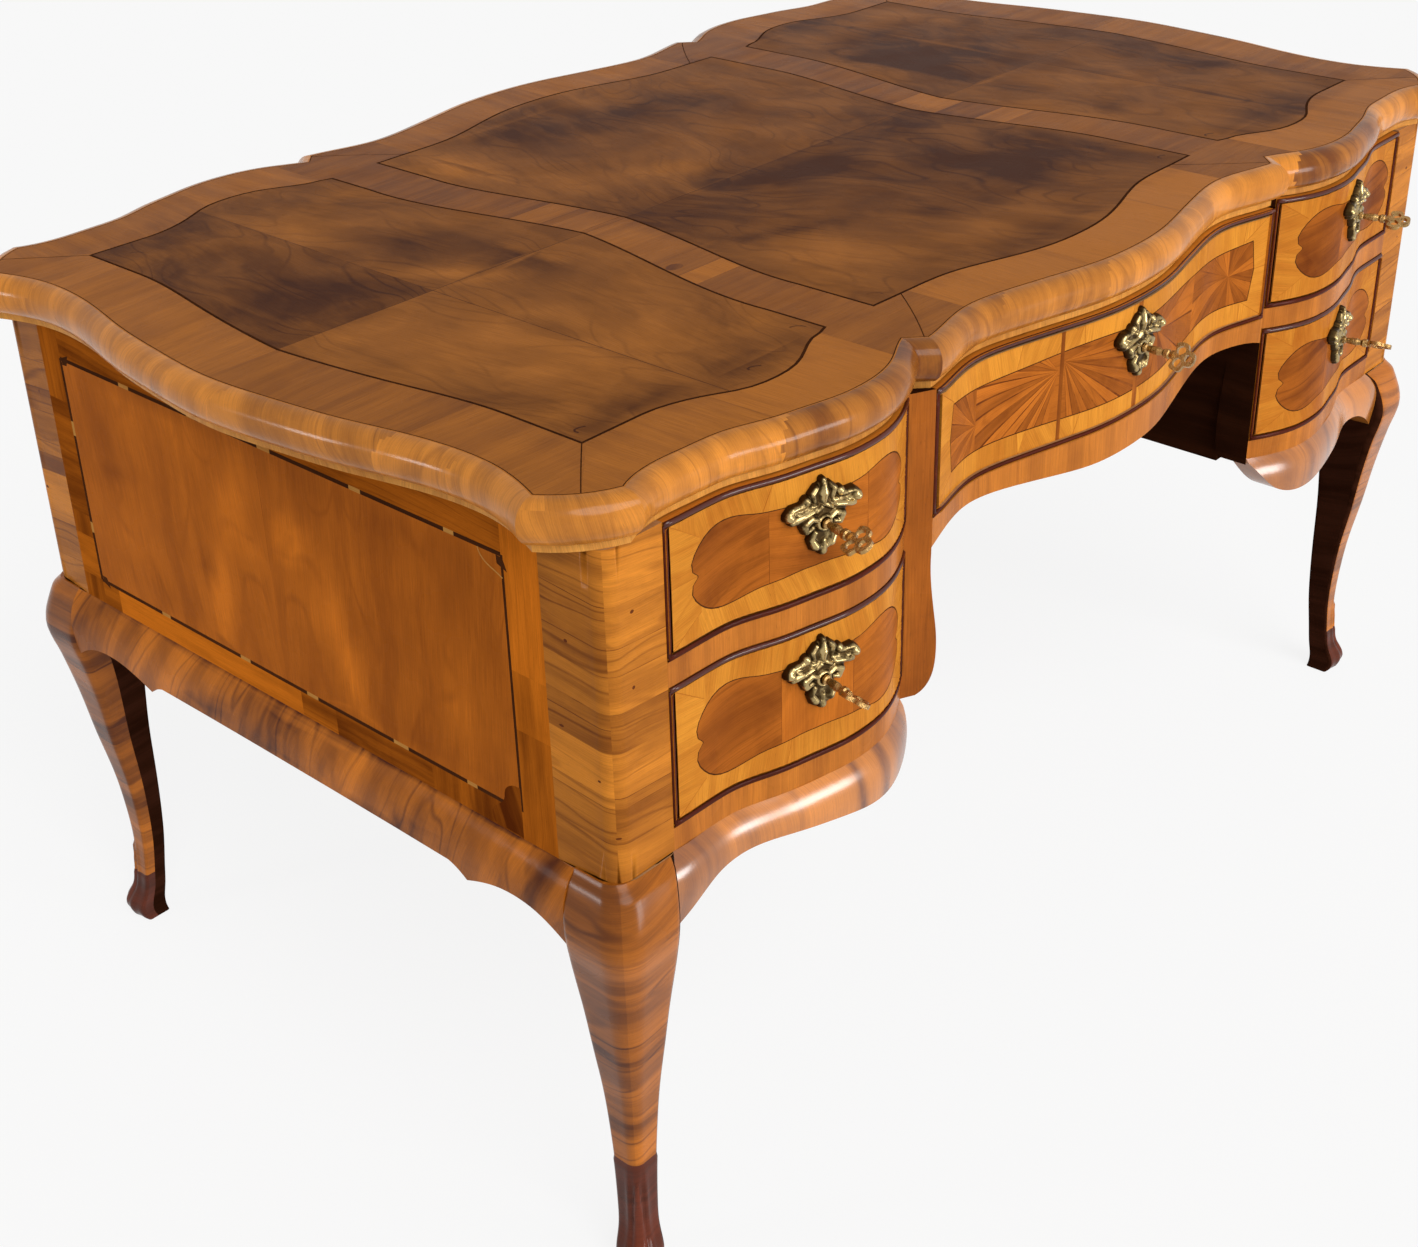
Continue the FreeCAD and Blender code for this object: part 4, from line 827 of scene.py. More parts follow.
def top_fields():
    """Outlines of the three figured fields, the left one first."""

    def smooth(*points):
        return [tuple(float(v) for v in p) for p in Curve(points).sample(0.014)]

    def behind(points):
        return [(x, -y) for x, y in reversed(points)]

    side = smooth((-0.658, 0.0), (-0.652, 0.06), (-0.64, 0.14), (-0.628, 0.215),
                  (-0.626, 0.25))
    front = smooth((-0.56, -0.331), (-0.53, -0.336), (-0.5, -0.348), (-0.474, -0.361),
                   (-0.442, -0.366), (-0.411, -0.362), (-0.385, -0.35), (-0.364, -0.339),
                   (-0.346, -0.335))
    inner = smooth((-0.335, -0.27), (-0.334, -0.215), (-0.321, -0.14), (-0.303, -0.06),
                   (-0.293, 0.0))
    half = [(-0.626, -0.331)] + front + [(-0.335, -0.331)] + inner
    left = []
    for p in half + behind(half[:-1]) + side[::-1] + [(x, -y) for x, y in side[1:]]:
        if not left or math.dist(p, left[-1]) > 1e-4:
            left.append(p)
    front = smooth((-0.263, -0.333), (-0.22, -0.334), (-0.165, -0.337), (-0.1, -0.355),
                   (-0.05, -0.368), (0.0, -0.372), (0.05, -0.368), (0.1, -0.355),
                   (0.165, -0.337), (0.22, -0.334), (0.263, -0.333))
    right = smooth((0.268, -0.25), (0.267, -0.205), (0.256, -0.14), (0.24, -0.06),
                   (0.232, 0.0))
    right += behind(right[:-1])
    centre = [(-0.268, -0.333)] + front + [(0.268, -0.333)] + right
    centre += [(0.268, 0.333)] + behind(front) + [(-0.268, 0.333)]
    centre += [(-x, y) for x, y in reversed(right)]
    return left, centre, [(-x, y) for x, y in reversed(left)]


def band_leaves(chance):
    """Cross-grained bands around the fields, in pieces with mitred corners."""
    far, near = (0.8, 0.496), (0.62, 0.33)
    sides = (
        ("front", (-1, -1), (1, -1), 90), ("back", (-1, 1), (1, 1), 90),
        ("left", (-1, -1), (-1, 1), 0), ("right", (1, -1), (1, 1), 0),
    )
    leaves = []
    for name, a, b, angle in sides:
        outline = [(a[0] * far[0], a[1] * far[1]), (b[0] * far[0], b[1] * far[1]),
                   (b[0] * near[0], b[1] * near[1]), (a[0] * near[0], a[1] * near[1])]
        leaves.append(Leaf(outline, 1, angle, chance.uniform(-0.05, 0.06)))
        marks = BAND_PIECES[name]
        for (low, tone), (high, _) in zip(marks, marks[1:]):
            if name in ("front", "back"):
                slant = chance.uniform(-0.012, 0.012)
                near_y, far_y = outline[3][1], outline[0][1]
                piece = [(low, near_y), (high, near_y), (high + slant, far_y),
                         (low + slant, far_y)]
            else:
                piece = [(a[0] * near[0], low), (a[0] * near[0], high), (a[0] * far[0], high),
                         (a[0] * far[0], low)]
            piece = clip_polygon(piece, outline)
            if len(piece) > 2:
                leaves.append(Leaf(piece, 1, angle + chance.uniform(-5, 5), tone))
    return leaves


# Pieces of the bands: where each starts, and its tone
BAND_PIECES = {
    "front": ((-0.8, 0.22), (-0.505, 0.44), (-0.3, 0.4), (-0.06, 0.56), (0.11, 0.48),
              (0.3, 0.36), (0.45, 0.16), (0.8, 0.0)),
    "back": ((-0.8, 0.02), (-0.42, 0.1), (-0.235, -0.04), (0.02, 0.08), (0.235, -0.1),
             (0.43, 0.04), (0.8, 0.0)),
    "left": ((-0.5, 0.2), (-0.215, 0.04), (0.0, 0.24), (0.3, 0.1), (0.5, 0.0)),
    "right": ((-0.5, -0.04), (-0.19, 0.1), (0.03, -0.12), (0.25, 0.04), (0.5, 0.0)),
}
# Pieces of the strips between the fields, from the back: where each starts, and its tone
STRIP_PIECES = {
    -1: ((0.42, -0.26), (0.09, 0.05), (0.054, -0.08), (0.042, 0.16), (0.006, -0.06),
         (-0.001, 0.1), (-0.114, -0.02), (-0.15, 0.42), (-0.178, -0.04), (-0.42, 0.0)),
    1: ((0.42, -0.28), (0.09, -0.2), (0.03, 0.28), (-0.03, -0.22), (-0.078, 0.18),
        (-0.114, -0.1), (-0.42, 0.0)),
}


def make_top_board():
    """Veneer of the writing surface on the plain board."""
    s = sizes()
    runs = crease_runs()
    edge = [tuple(p) for run in runs for p in run[:-1]]
    left, centre, right = top_fields()
    shell = Shell()
    width = s.string_width
    chance = random.Random(5)
    leaves = band_leaves(chance)
    seam = 0.0008
    for sign in (-1, 1):
        marks = STRIP_PIECES[sign]
        x_low, x_high = sorted((sign * 0.222, sign * 0.346))
        for (high, tone), (low, _) in zip(marks, marks[1:]):
            light = tone > 0.3
            leaves.append(Leaf(rectangle(x_low, x_high, low, high), 1, 90 if light else 0, tone))
            leaves.append(Leaf(rectangle(x_low, x_high, high - seam, high), 1, 0, -0.34))
    knot = [(-0.306 + 0.01 * math.cos(a), -0.132 + 0.007 * math.sin(a))
            for a in np.linspace(0, 2 * math.pi, 11)[:-1]]
    leaves.append(Leaf(knot, 1, 30, -0.42))
    lines = []
    for x_sign in (-1, 1):
        for y_sign in (-1, 1):
            lines.append([(0.23, 0.334), (0.262, 0.372), (0.3, 0.412)])
            lines.append([(0.626, 0.331), (0.664, 0.368), (0.7, 0.404)])
            for line in lines[-2:]:
                points = Curve([(x * x_sign, y * y_sign) for x, y in line]).sample(0.02)
                leaves.append(Leaf(line_leaf(points, 0.0011), 2, 0, 0.1))
    for outline in (left, centre, right):
        leaves.append(Leaf(grown(outline, width), 2, 0, 0.0))
    # Figured quarters, matched like the pages of a book about their joints
    tones = {(-1, -1, 1): -0.26, (-1, 1, 1): -0.02, (-1, -1, -1): 0.16, (-1, 1, -1): 0.12,
             (1, -1, 1): -0.18, (1, 1, 1): -0.1, (1, -1, -1): -0.02, (1, 1, -1): -0.1}
    for field, outline, seam_x, start in ((-1, left, -0.485, 0.0), (1, right, 0.485, 3.1)):
        box = np.array(outline)
        x_low, x_high = box[:, 0].min() - 0.01, box[:, 0].max() + 0.01
        for sx in (-1, 1):
            for sy in (-1, 1):
                quarter = clip_polygon(outline, rectangle(
                    *sorted((seam_x, x_low if sx < 0 else x_high)), *sorted((0, sy * 0.4))))
                leaves.append(Leaf(quarter, 0, 98, tones[field, sx, sy], (sx, sy),
                                   (seam_x, 0.0), (start, 0.4)))
        for cut in (rectangle(x_low, x_high, -seam / 2, seam / 2),
                    rectangle(seam_x - seam / 2, seam_x + seam / 2, -0.4, 0.4)):
            leaves.append(Leaf(clip_polygon(outline, cut), 0, 0, -0.38))
    for sy in (-1, 1):
        half = clip_polygon(centre, rectangle(-0.3, 0.3, *sorted((0, sy * 0.4))))
        leaves.append(Leaf(half, 0, 72, -0.03 + 0.05 * sy, (1, sy), (0.0, 0.0), (6.3, 2.2)))
    leaves.append(Leaf(clip_polygon(centre, rectangle(-0.3, 0.3, -seam / 2, seam / 2)), 0, 0,
                       -0.36))
    # Small dark hooks where the lines end
    for x, y, turn in ((-0.612, -0.318, 40), (-0.25, -0.32, -30), (-0.44, -0.345, 15),
                       (-0.6, 0.3, -35), (0.248, -0.318, 35), (0.61, -0.312, -40),
                       (0.345, -0.318, 20), (-0.352, -0.316, -25)):
        a = math.radians(turn)
        hook = [(x + 0.01 * math.cos(a + k) * (1 - k / 4), y + 0.007 * math.sin(a + k))
                for k in (0.0, 0.6, 1.2, 1.8, 2.4)]
        leaves.append(Leaf(line_leaf(hook, 0.002), 0, 0, -0.45))
    # Dark line along the crease of the rounded edge, partly the joint and partly painted shade of
    # the small step there, and a painted highlight as a bright line at the edge
    for depth, kind, shade in ((0.0022, 2, -0.1), (0.0012, 1, 0.75)):
        rim = grown(edge, -depth)
        leaves.append(Leaf(edge + [edge[0]] + [tuple(p) for p in np.vstack([rim, rim[:1]])[::-1]],
                           kind, 0, shade))
    height, middle = s.top_height, s.middle_y
    clouded = clouds(TOP_CLOUDS)

    def place(x, y):
        return x, y + middle, np.full_like(x, height)

    def up(x, y):
        return np.zeros_like(x), np.zeros_like(x), np.ones_like(x)

    def tone(x, y):
        # Painted shade: the fields are made darker towards the right, far end, from -0.1 to -0.26;
        # the clouds are the wood's own figure
        deep = -0.1 - 0.16 * np.clip((x + 0.3) / 0.6, 0.0, 1.0)
        fields = (((x < -0.36) | ((x > -0.25) & (x < 0.25)) | (x > 0.36)) & (np.abs(x) < 0.66)
                  & (np.abs(y) < 0.36))
        return np.where(fields, clouded(x, y) * 1.4 + deep, -0.06 * (np.abs(y) < 0.34))

    veneer(shell, edge, leaves, place, up, lattice(-0.75, 0.75, -0.43, 0.43, 0.014), seed=3,
           shade=tone)
    cad_faces(shell, "top_board", 3, lambda normal, centre: centre.z < height - 1e-4)
    shell.make("top_board_veneered", chosen("field", "band", "string", "timber"),
               replaces=("top_board",), slot="top_veneer")


def clip_polygon(subject, convex):
    """Cuts a closed outline down to a convex one."""
    convex = [tuple(p) for p in convex]
    area = sum(a[0] * b[1] - b[0] * a[1] for a, b in zip(convex, convex[1:] + convex[:1]))
    if area < 0:
        convex = convex[::-1]
    result = [tuple(p) for p in subject]
    for a, b in zip(convex, convex[1:] + convex[:1]):
        given, result = result, []

        def side(p):
            return (b[0] - a[0]) * (p[1] - a[1]) - (b[1] - a[1]) * (p[0] - a[0])

        for p, q in zip(given, given[1:] + given[:1]):
            sp, sq = side(p), side(q)
            if sp >= 0:
                result.append(p)
            if (sp >= 0) != (sq >= 0):
                t = sp / (sp - sq)
                result.append((p[0] + (q[0] - p[0]) * t, p[1] + (q[1] - p[1]) * t))
        if not result:
            return []
    return result


def cad_faces(shell, node, material, wanted=None, mapping=None, shade=None):
    """Copies the faces of a solid that are wanted.

    A mapping gives texture places, and keeps the solid's smooth normals. Without one both are
    those of flat faces. shade gives the tones of the places.
    """
    mesh = node_object(node).data
    if shade is not None:
        painted = shade(np.array([v.co for v in mesh.vertices]))
    for polygon in mesh.polygons:
        if wanted is not None and not wanted(polygon.normal, polygon.center):
            continue
        points = [np.array(mesh.vertices[v].co, float) for v in polygon.vertices]
        if mapping is None:
            axis = max(range(3), key=lambda k: abs(polygon.normal[k]))
            uvs = [(p[0], p[1]) if axis == 2 else (p[1 - axis], p[2]) for p in points]
            normals = None
        else:
            uvs = [mapping(p) for p in points]
            normals = [tuple(mesh.corner_normals[k].vector) for k in polygon.loop_indices]
        tones = [0.0] * len(points) if shade is None else painted[list(polygon.vertices)]
        shell.face(points, uvs, tones, material, normals)


def node_object(node):
    """The solid's own object."""
    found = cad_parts[node]
    return found if hasattr(found, "data") else bpy.data.objects[found]


# Rounded edge of the top


UPPER_ROWS, LOWER_ROWS = 9, 8


def moulding_tree(material):
    """Geometry nodes that draw the rounded nose of the top along its edge."""
    n, given, out, keys = new_tree("Geometry", "edge_moulding", (
        ("Edge", "Geometry"), ("Stations", "Int"), ("Top", "Float"), ("Height", "Float"),
        ("Overhang", "Float"), ("Fillet", "Float")), (("Moulding", "Geometry"),))
    foot = n.math("SUBTRACT", given["Top"], given["Height"])

    def corner(reach, share):
        return n.vector(reach, 0.0, n.math("MULTIPLY_ADD", given["Height"], share, foot))

    def sampled(geometry, value, index):
        return n.add("GeometryNodeSampleIndex", {"Geometry": geometry, "Value": value,
                                                 "Index": index},
                     data_type="FLOAT_VECTOR").outputs["Value"]

    crown, heel = corner(0.0, 1.0), corner(given["Fillet"], 0.0)
    nose = corner(given["Overhang"], 0.51)
    shoulder = corner(n.math("MULTIPLY", given["Overhang"], 0.74), 0.86)
    hollow = corner(n.math("MULTIPLY", given["Overhang"], 0.76), 0.18)
    rows = UPPER_ROWS + LOWER_ROWS - 1
    grid = n.add("GeometryNodeMeshGrid", {"Vertices X": given["Stations"], "Vertices Y": rows})
    index = n.add("GeometryNodeInputIndex").outputs[0]
    station = n.math("FLOOR", n.math("DIVIDE", index, rows))
    row = n.math("SUBTRACT", index, n.math("MULTIPLY", station, rows))
    place = n.add("GeometryNodeInputPosition").outputs[0]
    arcs = {"Switch": n.math("GREATER_THAN", row, UPPER_ROWS - 0.5)}
    for label, count, a, b, c, number in (
            ("False", UPPER_ROWS, crown, shoulder, nose, row),
            ("True", LOWER_ROWS, nose, hollow, heel, n.math("SUBTRACT", row, UPPER_ROWS - 1))):
        arc = n.add("GeometryNodeCurveArc", {"Resolution": count, "Start": a, "Middle": b,
                                             "End": c}, mode="POINTS")
        arcs[label] = sampled(arc.outputs["Curve"], place, number)
    section = n.add("GeometryNodeSwitch", arcs, input_type="VECTOR").outputs[0]
    parts = n.add("ShaderNodeSeparateXYZ", {0: section}).outputs
    outwards = n.add("GeometryNodeInputNamedAttribute", {"Name": "outwards"},
                     data_type="FLOAT_VECTOR").outputs["Attribute"]
    reach = n.vectors("MULTIPLY_ADD", {0: sampled(given["Edge"], outwards, station),
                                       1: parts["X"],
                                       2: sampled(given["Edge"], place, station)})
    total = n.vectors("ADD", {0: reach, 1: n.vector(0.0, 0.0, parts["Z"])})
    moved = n.add("GeometryNodeSetPosition", {"Geometry": grid.outputs["Mesh"],
                                              "Position": total})
    close_tree(n, moved.outputs[0], out[0], material)
    return n.tree, keys


def drawn_nose(run, out, tree, keys):
    """Rows of points of the rounded nose along one run of the edge."""
    s = sizes()
    mesh = bpy.data.meshes.new("edge_run")
    mesh.from_pydata([(x, y, 0.0) for x, y in run], [], [])
    outwards = mesh.attributes.new("outwards", "FLOAT_VECTOR", "POINT")
    outwards.data.foreach_set("vector", [v for x, y in out for v in (x, y, 0.0)])
    made = plain_result("edge_run", mesh, tree, {
        keys["Stations"]: len(run), keys["Top"]: s.top_height, keys["Height"]: s.nose_height,
        keys["Overhang"]: s.nose_overhang, keys["Fillet"]: s.nose_fillet})
    places = np.empty(len(made.vertices) * 3)
    made.vertices.foreach_get("co", places)
    return places.reshape(len(run), -1, 3).transpose(1, 0, 2)


def make_edge_moulding():
    """Rounded edge in lengths of cross-grained veneer with mitred corners."""
    s = sizes()
    runs = crease_runs(0.0045)
    foot = s.top_height - s.nose_height
    tree, keys = moulding_tree(MATERIALS["nose"])
    ways = []
    for run in runs:
        way = unit(np.gradient(run, axis=0))
        ways.append(np.stack([way[:, 1], -way[:, 0]], 1))
    chance = random.Random(11)
    total = sum(float(run_length(run)[-1]) for run in runs)
    marks, tones = [0.0], []
    while marks[-1] < total:
        marks.append(marks[-1] + chance.uniform(0.07, 0.19))
        tones.append((chance.uniform(-0.44, 0.26), chance.uniform(0, 9),
                      chance.uniform(-0.018, 0.018)))
    marks = np.array(marks)
    shell = Shell()
    reach = 0.0
    for index, (run, plain) in enumerate(zip(runs, ways)):
        out = plain.copy()
        for end, other in ((0, ways[index - 1][-1]), (-1, ways[(index + 1) % len(runs)][0])):
            mitre = out[end] + other
            mitre /= np.linalg.norm(mitre)
            out[end] = mitre / max(0.3, float(np.dot(mitre, out[end])))
        lengths = run_length(run) + reach
        reach = lengths[-1]
        rim = run + out * s.nose_fillet
        heel = np.stack([np.column_stack([rim, np.full(len(run), z)])
                         for z in (foot, s.underside)])
        for kind, points in enumerate((drawn_nose(run, out, tree, keys), heel)):
            reaches = (points[:, 0, :2] - run[0]) @ out[0] / float(out[0] @ out[0])
            rows = np.column_stack([reaches, points[:, 0, 2]])
            along = run_length(rows)
            slopes = unit(np.gradient(rows, axis=0))
            normals = np.empty(points.shape)
            normals[:, :, :2] = plain[None] * -slopes[:, 1][:, None, None]
            normals[:, :, 2] = slopes[:, 0][:, None]
            for i in range(len(rows) - 1):
                bow = 0.0 if kind else math.sin(math.pi * min(1.0, along[i] / along[-1]))
                for j in range(len(run) - 1):
                    spot = (lengths[j] + lengths[j + 1]) / 2 + 0.014 * bow
                    number = int(np.searchsorted(marks, spot)) - 1
                    tone, start, lean = tones[number % len(tones)]
                    corners = [(i, j), (i, j + 1), (i + 1, j + 1), (i + 1, j)]
                    a, b, c = (points[k] for k in corners[:3])
                    if float(np.dot(np.cross(b - a, c - a), normals[i, j])) < 0:
                        corners.reverse()
                    uvs = [(along[row] + start, lengths[column] + lean * along[row] * 20)
                           for row, column in corners]
                    shell.face([points[k] for k in corners], uvs,
                               [tone * 0.3 + 0.1 if kind else tone] * 4, kind,
                               [normals[k] for k in corners])
        for j in range(len(run) - 1):
            loop = (run[j], run[j + 1], rim[j + 1], rim[j])
            shell.flat([(*p, s.underside) for p in loop], 1, (0, 0, -1))
    for face in shell.faces:
        face[0][:] = [p + (0.0, s.middle_y, 0.0) for p in face[0]]
    shell.make("top_edge_moulding_veneered", chosen("nose", "fillet"),
               replaces=("top_edge_moulding",), slot="edge_veneer")


# Side panels


def dashes(x_low, x_high, y_low, y_high, every, length, chance):
    """Light dashes let into a dark line, as leaves along its longer side."""
    leaves = []
    long_x = x_high - x_low > y_high - y_low
    spot = (x_low if long_x else y_low) + every * 0.5
    end = x_high if long_x else y_high
    while spot < end - length:
        run = length * chance.uniform(0.7, 1.3)
        box = (spot, spot + run, y_low, y_high) if long_x else (x_low, x_high, spot, spot + run)
        leaves.append(Leaf(rectangle(*box), 4, 0 if long_x else 90, chance.uniform(-0.1, 0.1)))
        spot += every * chance.uniform(0.8, 1.2)
    return leaves


# Clouds of the side panels: along, height, two radii, turn and depth
PANEL_CLOUDS = (
    (-0.022, 0.632, 0.02, 0.022, 0, 0.44), (-0.02, 0.634, 0.006, 0.007, 0, -0.6),
    (0.055, 0.64, 0.022, 0.04, 20, 0.2), (0.03, 0.6, 0.03, 0.016, 30, 0.16),
    (0.098, 0.52, 0.015, 0.06, 8, 0.34), (-0.086, 0.545, 0.014, 0.075, -8, 0.34),
    (0.114, 0.56, 0.008, 0.016, 0, -0.4), (-0.106, 0.575, 0.01, 0.02, 20, -0.24),
    (-0.05, 0.57, 0.02, 0.03, 20, 0.14), (0.04, 0.54, 0.018, 0.08, 0, -0.14),
    (-0.02, 0.52, 0.018, 0.06, 0, -0.1), (0.25, 0.612, 0.03, 0.01, -12, -0.34),
    (0.16, 0.7, 0.1, 0.03, 0, 0.12), (0.27, 0.66, 0.03, 0.04, 0, -0.1),
    (-0.15, 0.69, 0.12, 0.03, 0, -0.16), (-0.24, 0.56, 0.012, 0.12, 0, 0.12),
    (-0.17, 0.6, 0.016, 0.09, 0, -0.1), (0.22, 0.54, 0.014, 0.08, 0, 0.1),
    (0.18, 0.5, 0.1, 0.02, 0, -0.1), (-0.2, 0.49, 0.08, 0.014, 0, -0.16),
)


def panel_leaves():
    """Veneer of a side panel: distance along the side from the middle, and height."""
    s = sizes()
    back = s.case_front - s.post_side
    low, high = s.seam, s.underside
    left, right, base, top = -0.302, 0.31, 0.474, 0.715
    pieces = (
        (-back, back, low, high, 1, 0, -0.1), (right, back, low, high, 1, 90, -0.26),
        (right, back, 0.545, 0.668, 1, 0, -0.34), (right, back, base, 0.52, 1, 0, -0.05),
        (left, right, top, high, 1, 4, -0.2), (left, right, low, base, 1, 0, -0.02),
        (-0.01, 0.282, low, base, 1, 0, 0.24), (-0.06, -0.01, low, base, 1, 0, -0.16),
        (-0.19, -0.06, low, base, 1, 0, -0.28), (left, -0.19, low, base, 1, 90, -0.2),
        (-back, left, low, high, 1, 90, 0.0), (-back, left, 0.612, 0.742, 1, 90, 0.36),
        (-back, left, 0.556, 0.612, 1, 90, 0.1), (left, right, base, top, 3, 0, 0.0),
    )
    leaves = [Leaf(rectangle(*piece[:4]), *piece[4:]) for piece in pieces]
    # Figured halves, matched like the pages of a book, and their joint
    for x_low, x_high, tone, sign in ((-0.301, 0.01, -0.05, -1), (0.01, 0.308, 0.03, 1)):
        leaves.append(Leaf(rectangle(x_low, x_high, 0.476, 0.713), 3, 86, tone, (sign, 1),
                           (0.01, 0.59), (2.0, 5.0)))
    leaves.append(Leaf(rectangle(0.0096, 0.0104, 0.59, 0.713), 3, 0, -0.3))
    chance = random.Random(21)
    for box, dashed in (((left, right, 0.713, 0.717), True), ((left, right, 0.472, 0.476), True),
                        ((0.308, 0.312, base, top), True), ((-0.304, -0.301, base, top), False)):
        leaves.append(Leaf(rectangle(*box), 2, 0, 0.02))
        if dashed:
            leaves += dashes(*box, 0.108, 0.015, chance)
    corner = Curve([(-0.3, 0.497), (-0.291, 0.495), (-0.283, 0.487), (-0.281, 0.477),
                    (-0.275, 0.47), (-0.267, 0.463), (-0.267, 0.448)]).sample(0.004)
    leaves.append(Leaf([(left, 0.447), (left, 0.497)] + [tuple(p) for p in corner], 1, 70, -0.42))
    for x, z, turn in ((0.306, 0.711, -45), (0.306, 0.478, 45), (-0.298, 0.711, 45)):
        a = math.radians(turn)
        way = np.array((math.cos(a), math.sin(a))) * 0.014
        side = np.array((-way[1], way[0])) * 0.35
        spot = np.array((x, z))
        leaves.append(Leaf([spot - way, spot - way * 0.2 + side, spot + way * 0.2,
                            spot - way * 0.2 - side], 2, turn, 0.12))
    inset = Curve([(-0.275, 0.713), (-0.282, 0.703), (-0.293, 0.698), (left, 0.694)])
    leaves.append(Leaf(line_leaf(inset.sample(0.004), 0.0014), 4, 0, 0.0))
    return leaves


def make_side_panels():
    """Inlaid veneer on the two side panels."""
    s = sizes()
    back = s.case_front - s.post_side
    outline = rectangle(-back, back, s.seam, s.underside)
    clouded = clouds(PANEL_CLOUDS)
    for name, sign in (("left", -1), ("right", 1)):
        shell = Shell()

        def place(y, z):
            return np.full_like(y, sign * s.case_side), y + s.middle_y, z

        def out(y, z):
            return np.full_like(y, sign), np.zeros_like(y), np.zeros_like(y)

        def tone(y, z):
            within = (y > -0.3) & (y < 0.307) & (z > 0.477) & (z < 0.712)
            painted = clouded(y, z)
            return np.where(within, np.where(painted > 0, painted * 1.5, painted * 0.7), 0.0)

        veneer(shell, outline, panel_leaves(), place, out,
               lattice(-back, back, s.seam, s.underside, 0.014), seed=31, shade=tone)
        node = "side_panel_" + name
        cad_faces(shell, node, 5, lambda normal, centre: normal.x * sign < 0.5)
        shell.make(node + "_veneered",
                   chosen("panel", "frame", "string", "panel", "light_string", "timber"),
                   replaces=(node,), slot="panel_veneer")


# Legs and posts

# Shape of a leg from the floor: share of its height, of the knee's bulge and of its width
LEG_SHARES = (
    (0.0, -0.25, 0.02), (0.035, 0.0, 0.12), (0.08, -0.27, 0.03), (0.135, -0.43, 0.0),
    (0.225, -0.52, 0.04), (0.335, -0.45, 0.14), (0.45, -0.23, 0.29), (0.56, 0.12, 0.5),
    (0.67, 0.42, 0.72), (0.785, 0.82, 0.98), (0.84, 1.0, 1.07), (0.9, 1.0, 1.12),
    (0.945, 0.77, 1.1), (0.98, 0.48, 1.05), (1.0, 0.25, 1.0),
)
LEG_SIDE_SETBACK = 0.007
LEG_FRONT_SETBACK = 0.003
KNEE_BULGE = 0.022
ANKLE_WIDTH = 0.026
KNEE_WIDTH = 0.068
OUTER_ROUND = 0.38
INNER_ROUND = 0.12


# Tones of a leg: heights and how light the veneer is there
LEG_TONES = (
    (0.12, 0.14, 0.152, 0.156, 0.162, 0.168, 0.172, 0.19, 0.215, 0.245, 0.252, 0.262, 0.27,
     0.28, 0.288, 0.305, 0.33, 0.352, 0.362, 0.372, 0.38, 0.386, 0.392, 0.41, 0.436, 0.46),
    (0.02, -0.02, -0.14, -0.36, -0.1, -0.3, -0.08, -0.04, -0.08, -0.12, -0.38, -0.16, -0.38,
     -0.18, -0.08, -0.14, -0.1, -0.12, 0.04, 0.1, 0.0, -0.34, -0.14, -0.08, -0.06, 0.04),
)
POST_RADIUS = 0.016
POST_DRAFT = 0.004


def post_path():
    """Plan of the right front post from its inner edge round the arris to the side panel."""
    s = sizes()
    side_x, front = s.case_side - POST_DRAFT, -s.case_front
    path = [(x, front, 0.0, -1.0)
            for x in np.linspace(s.case_side - s.post_face, side_x - POST_RADIUS, 8)]
    for angle in np.radians(np.linspace(-90, 0, 11))[1:]:
        way = (math.cos(angle), math.sin(angle))
        path.append((side_x - POST_RADIUS + POST_RADIUS * way[0],
                     front + POST_RADIUS + POST_RADIUS * way[1], *way))
    x, y = path[-1][:2]
    for t in np.linspace(0, 1, 7)[1:]:
        path.append((x + (s.case_side - x) * t, y + (s.post_side + front - y) * t,
                     0.997, -0.078))
    path = np.array(path)
    reach = run_length(path[:, :2])
    return path[:, :2], path[:, 2:], reach, (reach[7] + reach[17]) / 2


# Bands of a post from the top: height, tone on the front and tone on the side; the side tones lie
# lower on the whole, painted shade of the less lit side over the bands' own tones
POST_BANDS = (
    (0.8, 0.16, -0.06), (0.701, 0.1, -0.22), (0.664, 0.02, -0.2), (0.64, 0.12, -0.08),
    (0.606, -0.16, -0.1), (0.592, -0.04, -0.34), (0.57, 0.18, 0.26), (0.528, -0.26, 0.08),
    (0.518, -0.12, -0.16), (0.484, 0.04, -0.1), (0.42, 0.0, 0.0),
)
# Knots of a post: distance round it and height
POST_KNOTS = ((0.036, 0.696), (0.038, 0.615), (0.1, 0.655), (0.074, 0.548), (0.11, 0.585),
              (0.06, 0.48))


def post_leaves(chance, bands):
    """Cross-grained pieces of a post, that slope over its arris."""
    reach, corner = post_path()[2:]
    end = reach[-1]

    def lean(u):
        return 0.15 * (u - corner) if u > corner else 0.07 * (u - corner)

    leaves = []
    for (high, front, side), (low, _, _) in zip(bands, bands[1:]):
        for u_low, u_high, tone in ((0.0, corner, front), (corner, end, side)):
            us = np.linspace(u_low, u_high, 6)
            outline = [(u, low + lean(u)) for u in us] + [(u, high + lean(u)) for u in us[::-1]]
            angle = math.degrees(math.atan(0.15 if u_low > 0 else 0.07))
            leaves.append(Leaf(outline, 3, angle + chance.uniform(-3, 3), tone,
                               origin=(corner, 0.0)))
            edge = [(u, high + lean(u)) for u in us]
            leaves.append(Leaf(line_leaf(edge, 0.0007), 3, 0, tone - 0.3))
    for u, z in POST_KNOTS:
        z += chance.uniform(-0.01, 0.01)
        wide, tall = chance.uniform(0.0016, 0.0028), chance.uniform(0.001, 0.0018)
        knot = [(u + wide * math.cos(a), z + tall * math.sin(a))
                for a in np.linspace(0, 2 * math.pi, 9)[:-1]]
        leaves.append(Leaf(knot, 3, 0, -0.75))
    return leaves


